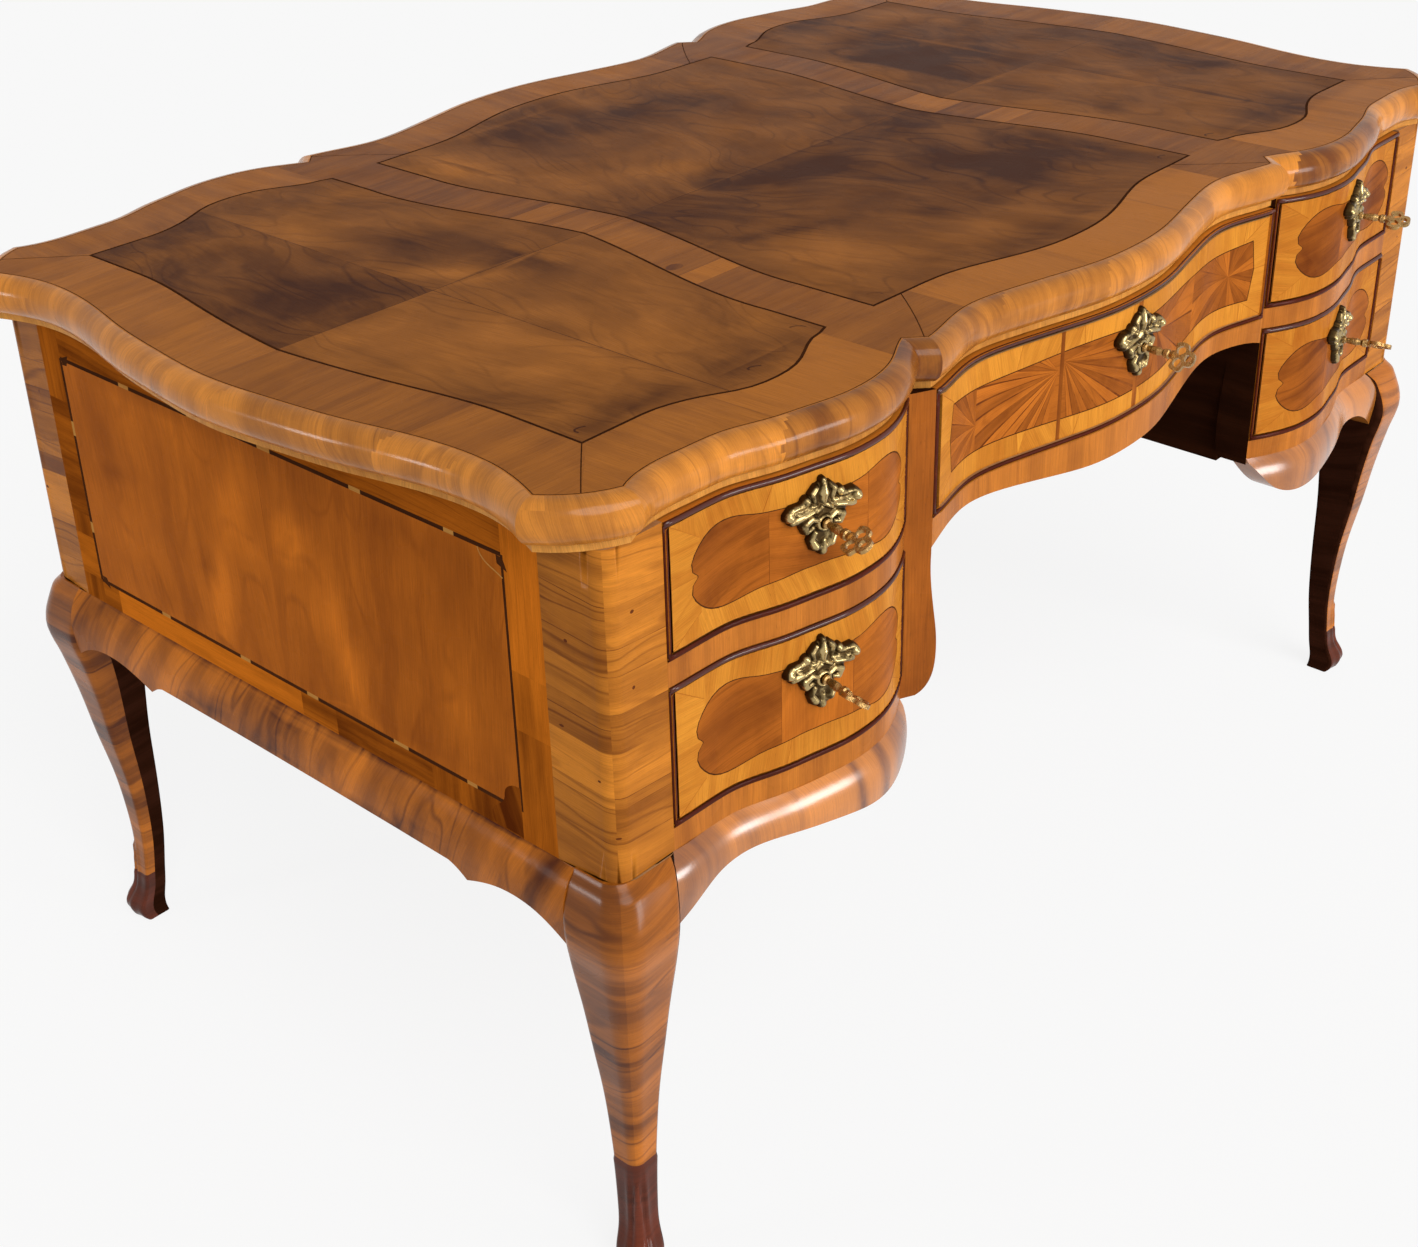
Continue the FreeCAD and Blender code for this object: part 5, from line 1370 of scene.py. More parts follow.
def add_post(shell, chance, bands):
    """Banded veneer of the right front post."""
    s = sizes()
    path, ways, reach, _ = post_path()

    def place(u, z):
        return np.interp(u, reach, path[:, 0]), np.interp(u, reach, path[:, 1]), z

    def out(u, z):
        x, y = np.interp(u, reach, ways[:, 0]), np.interp(u, reach, ways[:, 1])
        length = np.sqrt(x * x + y * y)
        return x / length, y / length, np.zeros_like(u)

    columns = [[(u, s.seam), (u, s.underside)] for u in reach[1:-1]]
    veneer(shell, rectangle(0.0, float(reach[-1]), s.seam, s.underside),
           post_leaves(chance, bands), place, out, columns, seed=chance.randint(0, 999))


def leg_ring(bulge, width, blend, root):
    """Section of the right front leg: places, outward ways and reach around it.

    It starts at the middle of the inner side that faces the kneehole, and passes the front,
    the outer corner, the outer side and the rear.
    """
    s = sizes()
    right = s.case_side - LEG_SIDE_SETBACK + bulge
    front = -(s.case_front - LEG_FRONT_SETBACK) - bulge
    right += (s.case_side + 0.0003 - right) * root
    front += (-s.case_front - 0.0003 - front) * root
    outer, inner = width * OUTER_ROUND, width * INNER_ROUND
    outer += (POST_RADIUS + 0.002 - outer) * blend
    corners = (
        (right - width + inner, front + inner, inner, 180, 4),
        (right - outer, front + outer, outer, 270, 10),
        (right - inner, front + width - inner, inner, 0, 4),
        (right - width + inner, front + width - inner, inner, 90, 4),
    )
    ring = []
    for x, y, radius, start, count in corners:
        for angle in np.radians(np.linspace(start, start + 90, count + 1)):
            way = (math.cos(angle), math.sin(angle))
            ring.append((x + radius * way[0], y + radius * way[1], *way))
    full = []
    for here, after in zip(ring, ring[1:] + ring[:1]):
        full.append(here)
        if math.dist(here[2:], after[2:]) < 1e-6:
            full += [(here[0] + (after[0] - here[0]) * t, here[1] + (after[1] - here[1]) * t,
                      *here[2:]) for t in (0.2, 0.4, 0.6, 0.8)]
    full = np.array(full)
    return full[:, :2], full[:, 2:], run_length(np.vstack([full, full[:1]])[:, :2])


def tongue(z, across):
    """Share of the raised pointed leaf on the front of a foot."""
    half = 0.3 * np.clip((0.098 - z) / 0.05, 0.0, 1.0) ** 0.6
    return float(np.clip((half - abs(across)) / 0.06, 0.0, 1.0)
                 * np.clip((z - 0.012) / 0.02, 0.0, 1.0))


def hoof_relief(z, across, hoof_top):
    """How far the carving of a foot stands out: height, share from the outer corner, top."""
    relief = 0.001 * np.clip((hoof_top - z) / 0.004, 0.0, 1.0)
    relief += 0.0026 * tongue(z, across)
    side = math.exp(-((abs(across) - 0.55 + 0.2 * z / 0.15) / 0.09) ** 2)
    relief += 0.0014 * side * np.clip((0.112 - z) / 0.03, 0.0, 1.0)
    groove = math.exp(-((abs(across) - 0.28) / 0.07) ** 2)
    relief -= 0.0012 * groove * np.clip((0.12 - z) / 0.03, 0.0, 1.0)
    toe = math.exp(-((z - 0.02) / 0.016) ** 2) * math.exp(-(across / 0.75) ** 2)
    relief += 0.005 * toe
    cleft = math.exp(-(across / 0.055) ** 2) * np.clip((0.034 - z) / 0.012, 0.0, 1.0)
    return relief - 0.0055 * cleft


# Columns round a leg: ends and middle of its outer corner, and the veneered ones
CORNER_COLUMNS = (9, 19)
CORNER_MIDDLE = 14
VENEERED_COLUMNS = range(3, 30)
# Carving of a foot: columns from its middle to its shoulders, its end as a share of them, its top
CARVED_COLUMNS = 11.0
CARVED_REACH = 1.35
CARVED_TOP = 0.16


def leg_shell(seed, hoof_top):
    """The right front leg and its post, in the middle frame of the case."""
    s = sizes()
    shell = Shell()
    chance = random.Random(seed)
    table = Curve([(z * s.seam, bulge * KNEE_BULGE, ANKLE_WIDTH + (KNEE_WIDTH - ANKLE_WIDTH) * w)
                   for z, bulge, w in LEG_SHARES]).at(np.linspace(0, 1, 1500))
    heights = np.unique(np.concatenate([
        np.linspace(0, hoof_top, 26), np.linspace(hoof_top, s.seam - 0.02, 48),
        np.linspace(s.seam - 0.02, s.seam, 9)]))
    away, points = [], []
    for z in heights:
        bulge, width = (float(np.interp(z, table[:, 0], table[:, k])) for k in (1, 2))
        blend, root = (float(np.clip((z - s.seam + rise) / rise, 0, 1)) ** 2
                       for rise in (0.03, 0.012))
        firm = 0.003 * float(np.clip((z - 0.36) / 0.03, 0, 1))
        places, ways, reach = leg_ring(bulge + firm, width, blend, root)
        away.append(reach - (reach[CORNER_COLUMNS[0]] + reach[CORNER_COLUMNS[1]]) / 2)
        row = []
        for k, (place, way) in enumerate(zip(places, ways)):
            across = (k - CORNER_MIDDLE) / CARVED_COLUMNS
            relief = 0.0
            if abs(across) < CARVED_REACH and z < CARVED_TOP:
                relief = hoof_relief(z, across, hoof_top)
                relief *= np.clip((CARVED_REACH - abs(across)) / 0.25, 0, 1)
                relief *= np.clip((z + 0.004) / 0.008, 0.0, 1.0)
            row.append((*(place + way * relief), z))
        points.append(row)
    points = np.array(points)
    normals = np.cross(np.roll(points, -1, axis=1) - np.roll(points, 1, axis=1),
                       np.gradient(points, axis=0))
    normals /= np.maximum(np.linalg.norm(normals, axis=2, keepdims=True), 1e-12)
    outwards = points - points.mean(axis=1, keepdims=True)
    normals *= np.where(np.sum(normals * outwards, axis=2, keepdims=True) < 0, -1.0, 1.0)
    start = chance.uniform(0, 9)
    count = points.shape[1]
    for i in range(len(heights) - 1):
        z = (heights[i] + heights[i + 1]) / 2
        for j in range(count):
            # Columns that face inwards get the near-black inner colour, painted shade
            kind, tone = 1, 0.0
            if j in VENEERED_COLUMNS and z < hoof_top:
                kind, tone = 2, 0.42 * tongue(z, (j + 0.5 - CORNER_MIDDLE) / CARVED_COLUMNS)
            elif j in VENEERED_COLUMNS:
                kind = 0
                tone = float(np.interp(z - 1.2 * away[i][j] ** 2, *LEG_TONES))
                # Painted light: the front columns are made a little lighter and the outer side's a
                # little darker
                tone += 0.05 if j < CORNER_MIDDLE else -0.07
            corners = [(i, j), (i, j + 1), (i + 1, j + 1), (i + 1, j)]
            uvs = []
            for row, column in corners:
                u = away[row][column]
                uvs.append((u * 0.9 + start, heights[row] - 1.2 * u * u + 0.1 * u + start))
            spots = [(row, column % count) for row, column in corners]
            shell.face([points[k] for k in spots], uvs, [tone] * 4, kind,
                       [normals[k] for k in spots])
    shell.flat(points[0], 2, (0, 0, -1))
    shell.flat(points[-1], 0, (0, 0, 1))
    bands = POST_BANDS
    if seed % 4:
        bands = [(high - chance.uniform(0.0, 0.012), front + chance.uniform(-0.1, 0.1),
                  side + chance.uniform(-0.12, 0.12)) for high, front, side in POST_BANDS]
        bands[0] = (0.8, *bands[0][1:])
        bands[-1] = (0.42, *bands[-1][1:])
    add_post(shell, chance, bands)
    return shell


def placed_shell(shell, x_sign, y_sign, middle):
    """Copy of a shell turned into another corner of the case."""
    result = Shell()
    turn = np.array((x_sign, y_sign, 1.0))
    step = -1 if x_sign * y_sign < 0 else 1
    for points, uvs, shades, material, normals in shell.faces:
        points = [np.asarray(p, float) * turn + (0, middle, 0) for p in points][::step]
        if normals is not None:
            normals = [np.asarray(n, float) * turn for n in normals][::step]
        result.face(points, uvs[::step], shades[::step], material, normals)
    return result


# Height of the dark carving, on the near front leg and on the others
HOOF_TOPS = (0.118, 0.062)


def make_legs():
    """Four carved legs with their posts, on what the carcass hides of the solids."""
    s = sizes()
    for number, (name, x_sign, y_sign) in enumerate((
            ("front_left_leg", -1, 1), ("front_right_leg", 1, 1),
            ("back_left_leg", -1, -1), ("back_right_leg", 1, -1))):
        hoof_top = HOOF_TOPS[min(number, 1)]
        shell = placed_shell(leg_shell(40 + number, hoof_top), x_sign, y_sign, s.middle_y)

        def inner_side(normal, centre):
            if centre.z < s.seam - 1e-4:
                return False
            if abs(normal.z) > 0.5:
                return True
            return normal.x * x_sign < -0.5 or normal.y * y_sign > 0.5

        cad_faces(shell, name, 4, inner_side)
        shell.make(name + "_carved", chosen("leg", "inner", "hoof", "post", "timber"),
                   replaces=(name,), slot="leg_walnut")


# Drawer fronts

# Quarter of a lobed panel: shares of half its width and of half its height
CARTOUCHE = (
    (0.0, 0.8), (0.14, 0.8), (0.3, 0.84), (0.42, 0.87), (0.54, 0.95),
    (0.68, 1.0), (0.8, 0.93), (0.89, 0.76), (0.95, 0.56), (0.985, 0.36),
    (0.98, 0.18), (0.93, 0.02),
)


def cartouche(x_low, x_high, z_low, z_high, margin=0.0):
    """Double-lobed outline, mirrored about both of its middles."""
    half = (x_high - x_low) / 2 + margin
    tall = (z_high - z_low) / 2 + margin
    x, z = (x_low + x_high) / 2, (z_low + z_high) / 2
    quarter = Curve([(a * half, b * tall) for a, b in CARTOUCHE]).sample(0.008)
    right = [(a, b) for a, b in quarter] + [(a, -b) for a, b in quarter[::-1]]
    outline = right + [(-a, b) for a, b in right[::-1]]
    clean = []
    for a, b in outline:
        spot = (x + float(a), z + float(b))
        if not clean or math.dist(spot, clean[-1]) > 2e-4:
            clean.append(spot)
    if math.dist(clean[0], clean[-1]) < 2e-4:
        clean.pop()
    return clean


BORDER_DEPTH = 0.022
JOINT_HALF = 0.0004


def border_leaves(x_low, x_high, z_low, z_high, chance, tone):
    """Golden border of a drawer front: long pieces with mitred corners and dark joints."""
    middle = (z_low + z_high) / 2
    corner = BORDER_DEPTH * 1.5
    leaves = [Leaf(rectangle(x_low, x_high, z_low, z_high), 0, 90, tone)]
    seams = []
    for base, sign in ((z_low, 1), (z_high, -1)):
        marks = [x_low + corner]
        while marks[-1] < x_high - corner - 0.075:
            marks.append(marks[-1] + chance.uniform(0.06, 0.105))
        marks[-1] = x_high - corner
        for low, high in zip(marks, marks[1:]):
            lean = chance.uniform(-0.022, 0.022)
            leaves.append(Leaf([(low, base), (high, base), (high + lean, middle),
                                (low + lean, middle)], 0, 90 + chance.uniform(-30, 30),
                               tone + chance.uniform(-0.16, 0.18)))
            seams.append([(high, base), (high + lean, middle)])
        for edge, side in ((x_low, 1), (x_high, -1)):
            inner = edge + side * corner
            leaves.append(Leaf([(edge, base), (inner, base + sign * BORDER_DEPTH), (inner, middle),
                                (edge, middle)], 0, chance.uniform(-14, 14),
                               tone + chance.uniform(-0.1, 0.06)))
            seams.append([(edge, base), (inner, base + sign * BORDER_DEPTH)])
    for a, b in seams:
        leaves.append(Leaf(line_leaf([a, b], 0.0008), 0, 0, -0.42))
    joint = rectangle(x_low, x_high, middle - JOINT_HALF, middle + JOINT_HALF)
    leaves.append(Leaf(joint, 0, 0, -0.36))
    return leaves


# Clouds of the drawer fronts: across, height, two radii, turn and depth
DRAWER_CLOUDS = {
    "upper_left_drawer": ((-0.56, 0.7, 0.04, 0.03, 0, -0.16),
                          (-0.465, 0.665, 0.035, 0.025, 0, -0.18),
                          (-0.4, 0.69, 0.04, 0.03, 0, 0.1)),
    "lower_left_drawer": ((-0.545, 0.51, 0.045, 0.03, 0, -0.16),
                          (-0.56, 0.56, 0.04, 0.016, 0, 0.1)),
    "upper_right_drawer": ((0.42, 0.7, 0.05, 0.03, 0, 0.12),
                           (0.55, 0.68, 0.04, 0.03, 0, -0.12)),
    "lower_right_drawer": ((0.43, 0.54, 0.05, 0.03, 0, -0.1),
                           (0.56, 0.53, 0.04, 0.03, 0, 0.08)),
    "centre_drawer": ((0.0, 0.69, 0.06, 0.03, 0, -0.08),),
}


# Dark panel of each side drawer: its box, its two joints, its tone, and how much lighter its
# middle is and how that is turned
DRAWER_PANELS = {
    "upper_left_drawer": ((-0.593, -0.348, 0.65, 0.725), (-0.515, -0.412), 0.0, 0.05, -12),
    "lower_left_drawer": ((-0.593, -0.346, 0.491, 0.576), (-0.505, -0.428), 0.0, 0.24, 90),
    "upper_right_drawer": ((0.35, 0.608, 0.65, 0.727), (0.43, 0.53), -0.24, 0.05, -12),
    "lower_right_drawer": ((0.346, 0.604, 0.492, 0.572), (0.432, 0.52), -0.12, 0.05, 90),
}


def drawer_leaves(name, x_low, x_high, z_low, z_high, chance):
    """Golden border around a dark lobed panel of three pieces, or the centre's fans."""
    if name not in DRAWER_PANELS:
        return centre_leaves(x_low, x_high, z_low, z_high, chance)
    box, cuts, tone, lighter, angle = DRAWER_PANELS[name]
    leaves = border_leaves(x_low, x_high, z_low, z_high, chance,
                           -0.22 if box[0] > 0 else -0.02)
    outline = cartouche(*box)
    leaves.append(Leaf(cartouche(*box, margin=0.0011), 2, 0, 0.25))
    leaves.append(Leaf(outline, 1, 8, tone))
    inner = clip_polygon(outline, rectangle(*cuts, z_low, z_high))
    leaves.append(Leaf(inner, 1, angle, tone + lighter))
    for x in cuts:
        seam = clip_polygon(outline, rectangle(x - JOINT_HALF, x + JOINT_HALF, z_low, z_high))
        leaves.append(Leaf(seam, 1, 0, -0.4))
    outer = clip_polygon(outline, rectangle(x_low, cuts[0], z_low, z_high))
    leaves.append(Leaf(outer, 1, 12, tone - 0.06))
    return leaves


def fan_leaves(outline, centre, start, end, count, tones):
    """Wedges of dark veneer that spread from one point, with dark joints."""
    leaves, seams = [], []

    def wedge(a, b):
        return clip_polygon(outline, [centre] + [
            (centre[0] + 0.4 * math.cos(t), centre[1] + 0.4 * math.sin(t)) for t in (a, b)])

    for k in range(count):
        a, b = (math.radians(start + (end - start) * t / count) for t in (k, k + 1))
        piece, thin = wedge(a, b), wedge(a, a + 0.022)
        if len(piece) > 2:
            leaves.append(Leaf(piece, 1, math.degrees((a + b) / 2), tones[k % len(tones)]))
        if len(thin) > 2:
            seams.append(Leaf(thin, 1, 0, -0.4))
    return leaves + seams


def centre_leaves(x_low, x_high, z_low, z_high, chance):
    """Centre drawer: golden borders around a long panel of fans."""
    leaves = border_leaves(x_low, x_high, z_low, z_high, chance, 0.08)
    low, high = 0.6545, 0.719
    top = Curve([(-0.258, high), (-0.15, high - 0.001), (-0.05, high + 0.003), (0.0, high),
                 (0.06, high + 0.002), (0.16, high - 0.002), (0.268, high)]).sample(0.012)
    base = Curve([(-0.258, low), (-0.15, low + 0.001), (0.0, low - 0.002), (0.15, low + 0.001),
                  (0.268, low)]).sample(0.012)
    outline = [tuple(p) for p in base] + [(0.273, 0.688)] + [tuple(p) for p in top[::-1]]
    outline += [(-0.263, 0.688)]
    leaves.append(Leaf(grown(outline, 0.0011), 2, 0, 0.15))
    leaves.append(Leaf(outline, 1, 0, 0.0))
    parts = (
        (-0.3, -0.213, (-0.213, 0.68), 60, 270, 11, (0.16, -0.1, 0.04, -0.16)),
        (-0.213, -0.107, (-0.11, 0.704), 130, 258, 15, (0.3, -0.02, 0.12, -0.1, 0.2)),
        (-0.107, 0.003, (-0.104, 0.712), -84, 10, 12, (0.24, -0.1, 0.12, -0.16, 0.04)),
        (0.003, 0.15, (0.04, 0.7), -100, 100, 9, (-0.02, -0.14, 0.06, -0.08)),
        (0.15, 0.3, (0.236, 0.688), 0, 360, 16, (0.1, -0.14, 0.02, -0.2)),
    )
    for x_a, x_b, centre, start, end, count, tones in parts:
        box = clip_polygon(outline, rectangle(x_a, x_b, z_low, z_high))
        leaves.append(Leaf(box, 1, 0, -0.05))
        leaves += fan_leaves(box, centre, start, end, count, tones)
    for x, wide, tone in ((-0.1065, 0.0046, -0.26), (0.003, 0.008, -0.1)):
        leaves.append(Leaf(rectangle(x - wide / 2, x + wide / 2, z_low, z_high), 1, 90, tone))
    return leaves


def fronts():
    """The curved plans by side."""
    pedestal = Front(pedestal_points())
    left = Front([(-x, y) for x, y in pedestal_points()])
    return {"left": left, "centre": Front(centre_points()), "right": pedestal}


def drawer_places():
    """Drawers with their side and the edges of their fronts."""
    s = sizes()
    gap = s.drawer_gap
    outer, inner = s.case_side - s.post_face, s.centre_edge + s.stile_width
    beds = {"left": (-outer, -inner), "centre": (-s.centre_edge, s.centre_edge),
            "right": (inner, outer)}
    openings = {"upper": (s.upper_opening, s.underside), "lower": (s.lower_opening, s.mid_rail)}
    result = []
    for level, side in (("upper", "left"), ("lower", "left"), ("upper", "centre"),
                        ("upper", "right"), ("lower", "right")):
        name = "centre_drawer" if side == "centre" else "%s_%s_drawer" % (level, side)
        (x_low, x_high), (z_low, z_high) = beds[side], openings[level]
        result.append((name, side, x_low + gap, x_high - gap, z_low + gap, z_high - gap))
    return result


def make_drawer_fronts():
    """Veneer of the five drawer fronts, then their beads."""
    s = sizes()
    curves = fronts()
    drawn = bead_tree(MATERIALS["bead"])
    for number, (name, side, x_low, x_high, z_low, z_high) in enumerate(drawer_places()):
        curve = curves[side]
        bead = s.bead_width
        box = (x_low + bead, x_high - bead, z_low + bead, z_high - bead)
        chance = random.Random(60 + number)
        shell = Shell()
        columns = [[(x, box[2]), (x, box[3])] for x in np.arange(box[0] + 0.006, box[1], 0.006)]
        clouded = clouds(DRAWER_CLOUDS[name])
        low_x, high_x = box[0] + 0.02, box[1] - 0.02

        def place(x, z):
            return x, curve.y(x) + s.middle_y, z

        def out(x, z):
            slope = curve.way(x)
            length = np.sqrt(1 + slope * slope)
            return slope / length, -1 / length, np.zeros_like(x)

        def tone(x, z):
            within = (x > low_x) & (x < high_x) & (z > box[2] + 0.02) & (z < box[3] - 0.018)
            return np.where(within, clouded(x, z), 0.0)

        veneer(shell, rectangle(*box), drawer_leaves(name, *box, chance), place, out, columns,
               run=curve.run, seed=70 + number, shade=tone)
        node = name + "_front"

        def rest(normal, centre):
            if not (box[0] < centre.x < box[1] and box[2] < centre.z < box[3]):
                return False
            outer = curve.y(centre.x) + s.middle_y
            return not (normal.y < -0.5 and centre.y < outer + 0.0012)

        cad_faces(shell, node, 3, rest)
        shell.make(node + "_veneered", chosen("gold", "cartouche", "string", "timber"), body=name,
                   replaces=(node,), slot="front_veneer")
        make_beads(name, curve, x_low, x_high, z_low, z_high, drawn)


# Beads by geometry nodes


def bead_tree(material):
    """Geometry nodes that sweep a rounded section along a line."""
    n, given, out, keys = new_tree("Geometry", "cock_bead", (
        ("Line", "Geometry"), ("Width", "Float"), ("Proud", "Float")), (("Bead", "Geometry"),))
    curve = n.add("GeometryNodeMeshToCurve", {0: given["Line"]})
    section = n.add("GeometryNodeCurvePrimitiveCircle", {"Resolution": 12, "Radius": 0.5})
    stretch = n.add("GeometryNodeTransform", {
        "Geometry": section.outputs["Curve"],
        "Scale": n.vector(given["Width"], given["Proud"], 1.0)})
    sweep = n.add("GeometryNodeCurveToMesh", {
        "Curve": curve.outputs[0], "Profile Curve": stretch.outputs[0], "Fill Caps": True})
    close_tree(n, sweep.outputs[0], out[0], material)
    return n.tree, keys["Width"], keys["Proud"]


def swept_line(name, points, tree, values):
    """Plain mesh of the bead along a line of points."""
    mesh = bpy.data.meshes.new(name + "_line")
    mesh.from_pydata([tuple(p) for p in points], [(k, k + 1) for k in range(len(points) - 1)], [])
    return plain_result(name + "_line", mesh, tree, values)


def join_meshes(name, meshes, materials):
    """One mesh of several, sharing the given materials in order."""
    places, polygons, kinds = [], [], []
    for kind, mesh in meshes:
        base = len(places)
        places += [tuple(v.co) for v in mesh.vertices]
        polygons += [[base + v for v in polygon.vertices] for polygon in mesh.polygons]
        kinds += [kind] * len(mesh.polygons)
    result = bpy.data.meshes.new(name)
    result.from_pydata(places, [], polygons)
    for material in materials:
        result.materials.append(material)
    result.polygons.foreach_set("material_index", kinds)
    result.polygons.foreach_set("use_smooth", [True] * len(kinds))
    result.update()
    return result


def make_beads(name, curve, x_low, x_high, z_low, z_high, drawn):
    """Cock beads around one drawer front, with their plain strips behind."""
    s = sizes()
    tree, width_key, proud_key = drawn
    bead, depth = s.bead_width, s.bead_proud * 2
    parts = []
    xs = np.append(np.arange(x_low, x_high, 0.008), x_high)
    for kind, z, side, share in ((0, z_low, 1, 0.46), (1, z_high, -1, 0.76)):
        wide = bead * share
        line = [(x, float(curve.y(x)) + s.middle_y, z + side * wide / 2) for x in xs]
        parts.append((kind, swept_line(name, line, tree, {width_key: wide, proud_key: depth})))
    for x, side in ((x_low, 1), (x_high, -1)):
        wide = bead * 0.46
        x += side * wide / 2
        y = float(curve.y(x)) + s.middle_y
        line = [(x, y, z) for z in np.linspace(z_low + bead / 2, z_high - bead / 2, 9)]
        parts.append((0, swept_line(name, line, tree, {width_key: depth, proud_key: wide})))
    mesh = join_meshes(name + "_beads", parts, chosen("bead", "top_bead"))
    finish_piece(bpy.data.objects.new(name + "_beads", mesh), name)
    strips = Shell()

    def strip_side(_, centre):
        outside = not (x_low + bead < centre.x < x_high - bead
                       and z_low + bead < centre.z < z_high - bead)
        return outside and centre.y > curve.y(centre.x) + s.middle_y - 0.0004

    cad_faces(strips, name + "_front", 0, strip_side)
    strips.make(name + "_bead_strips", chosen("gold"), body=name, slot="front_veneer")


# Frame and inside

PLAIN_PIECES = {
    "rail": ("mid_rail_left", "mid_rail_right", "bottom_rail_left", "bottom_rail_right",
             "kneehole_apron"),
    "back": ("back_panel_left", "back_panel_right", "back_panel_centre"),
    "wall": ("kneehole_wall_left", "kneehole_wall_right"),
}
# Painted stripes of the aprons: place along them, height, two radii, turn and depth
FRONT_APRON_CLOUDS = (
    (-0.605, 0.42, 0.024, 0.08, 10, -0.3), (-0.427, 0.42, 0.005, 0.09, 6, -0.44),
    (-0.394, 0.42, 0.006, 0.09, 6, -0.56), (-0.355, 0.4, 0.018, 0.06, 15, -0.24),
    # The light spot at -0.5 is lighter veneer with a painted highlight, where the belly catches the
    # front light
    (-0.5, 0.42, 0.045, 0.1, 0, 0.16), (-0.34, 0.44, 0.01, 0.03, 0, -0.2),
    (-0.56, 0.44, 0.01, 0.02, 0, 0.16),
)
SIDE_APRON_CLOUDS = (
    (0.345, 0.42, 0.022, 0.1, 27, -0.4), (0.178, 0.42, 0.03, 0.1, 27, 0.24),
    (0.132, 0.42, 0.009, 0.09, 27, -0.7), (0.11, 0.42, 0.012, 0.09, 27, -0.3),
    (0.06, 0.42, 0.03, 0.1, 27, -0.1), (-0.085, 0.42, 0.022, 0.1, 27, 0.34),
    (-0.16, 0.42, 0.008, 0.09, 27, -0.62), (-0.185, 0.42, 0.006, 0.09, 27, -0.3),
    (-0.215, 0.42, 0.012, 0.09, 27, -0.16), (-0.328, 0.42, 0.012, 0.09, 27, -0.55),
    (-0.27, 0.42, 0.022, 0.1, 27, 0.2), (0.26, 0.42, 0.012, 0.09, 27, -0.22),
    (0.02, 0.42, 0.006, 0.09, 27, -0.3), (-0.03, 0.42, 0.01, 0.09, 27, 0.16),
)


def make_aprons():
    """Moulded aprons, cross-grained, with the broad dark stripes of their veneer."""
    middle = sizes().middle_y
    front, along = clouds(FRONT_APRON_CLOUDS), clouds(SIDE_APRON_CLOUDS)
    sides = ((-1, "left"), (1, "right"))

    def dress(node, kind, mapping, tone):
        shell = Shell()
        cad_faces(shell, node, 0, None, mapping, tone)
        shell.make(node + "_veneered", chosen(kind), replaces=(node,), slot="frame_walnut")

    for end in ("front", "back"):
        for sign, side in sides:
            shift = 0.0 if (end, side) == ("front", "left") else 0.021 * (2 + sign)
            strength = 1.0 if sign < 0 else 0.5
            dress("%s_apron_%s" % (end, side), "apron",
                  lambda p: (p[2] + 0.15 * p[0] + shift * 40, p[0] + p[1] * 0.6),
                  lambda p: front(-np.abs(p[:, 0]) + shift, p[:, 2]) * strength)
    for sign, side in sides:
        dress("side_apron_" + side, "side_apron",
              lambda p: (p[2] - 0.5 * p[1] + sign, p[1] + 0.5 * p[2]),
              lambda p: along((p[:, 1] - middle) * -sign, p[:, 2]))


def make_plain_pieces():
    """Materials of the solids that keep their shape, aprons and stiles."""
    upright, deep = (0.0, math.pi / 2, 0.0), (0.0, 0.0, math.pi / 2)
    MATERIALS.update(
        rail=walnut("rail_walnut", (0.52, 0.17, 0.022), (0.17, 0.044, 0.009), 36.0, 0.36, 0.8,
                    0.32, 10.0, turn=upright, coat=0.08, gloss=0.04),
        stile=walnut("stile_walnut", (0.42, 0.12, 0.013), (0.13, 0.03, 0.005), 36.0, 0.36, 0.8,
                     0.32, 10.0, coat=0.06, gloss=0.04),
        back=walnut("back_walnut", (0.44, 0.14, 0.02), (0.14, 0.034, 0.006), 36.0, 0.4, 0.9,
                    0.35, 7.0, coat=0.05, turn=upright, gloss=0.04),
        # Near-black kneehole walls, also used on the stiles' side faces: painted shade of the
        # kneehole
        wall=walnut("shaded_wall_walnut", (0.034, 0.01, 0.004), (0.012, 0.004, 0.002), 50.0, 0.5, 0.6,
                    0.3, 8.0, coat=0.0, turn=deep, gloss=0.0),
    )
    for kind, nodes in PLAIN_PIECES.items():
        for node in nodes:
            give_material(node, MATERIALS[kind])
    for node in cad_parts:
        if node.endswith("_lock_case") or node.endswith("_lock_bolt"):
            give_material(node, MATERIALS["steel"])
        elif node.endswith("_box") or "runner" in node or "floor" in node:
            give_material(node, MATERIALS["timber"])
    make_aprons()
    for side in ("left", "right"):
        node = "kneehole_stile_" + side
        shell = Shell()

        # The stiles' side faces take the near-black wall colour, painted shade beside the kneehole
        for kind, wanted in ((0, lambda normal, centre: normal.y < -0.5),
                             (1, lambda normal, centre: not normal.y < -0.5)):
            cad_faces(shell, node, kind, wanted, lambda p: (p[2], p[0] + p[1]))
        shell.make(node + "_veneered", chosen("stile", "wall"), replaces=(node,),
                   slot="frame_walnut")


def give_material(node, material):
    """Leaves a solid as it is built, in one material."""
    mesh = node_object(node).data
    mesh.materials.clear()
    mesh.materials.append(material)


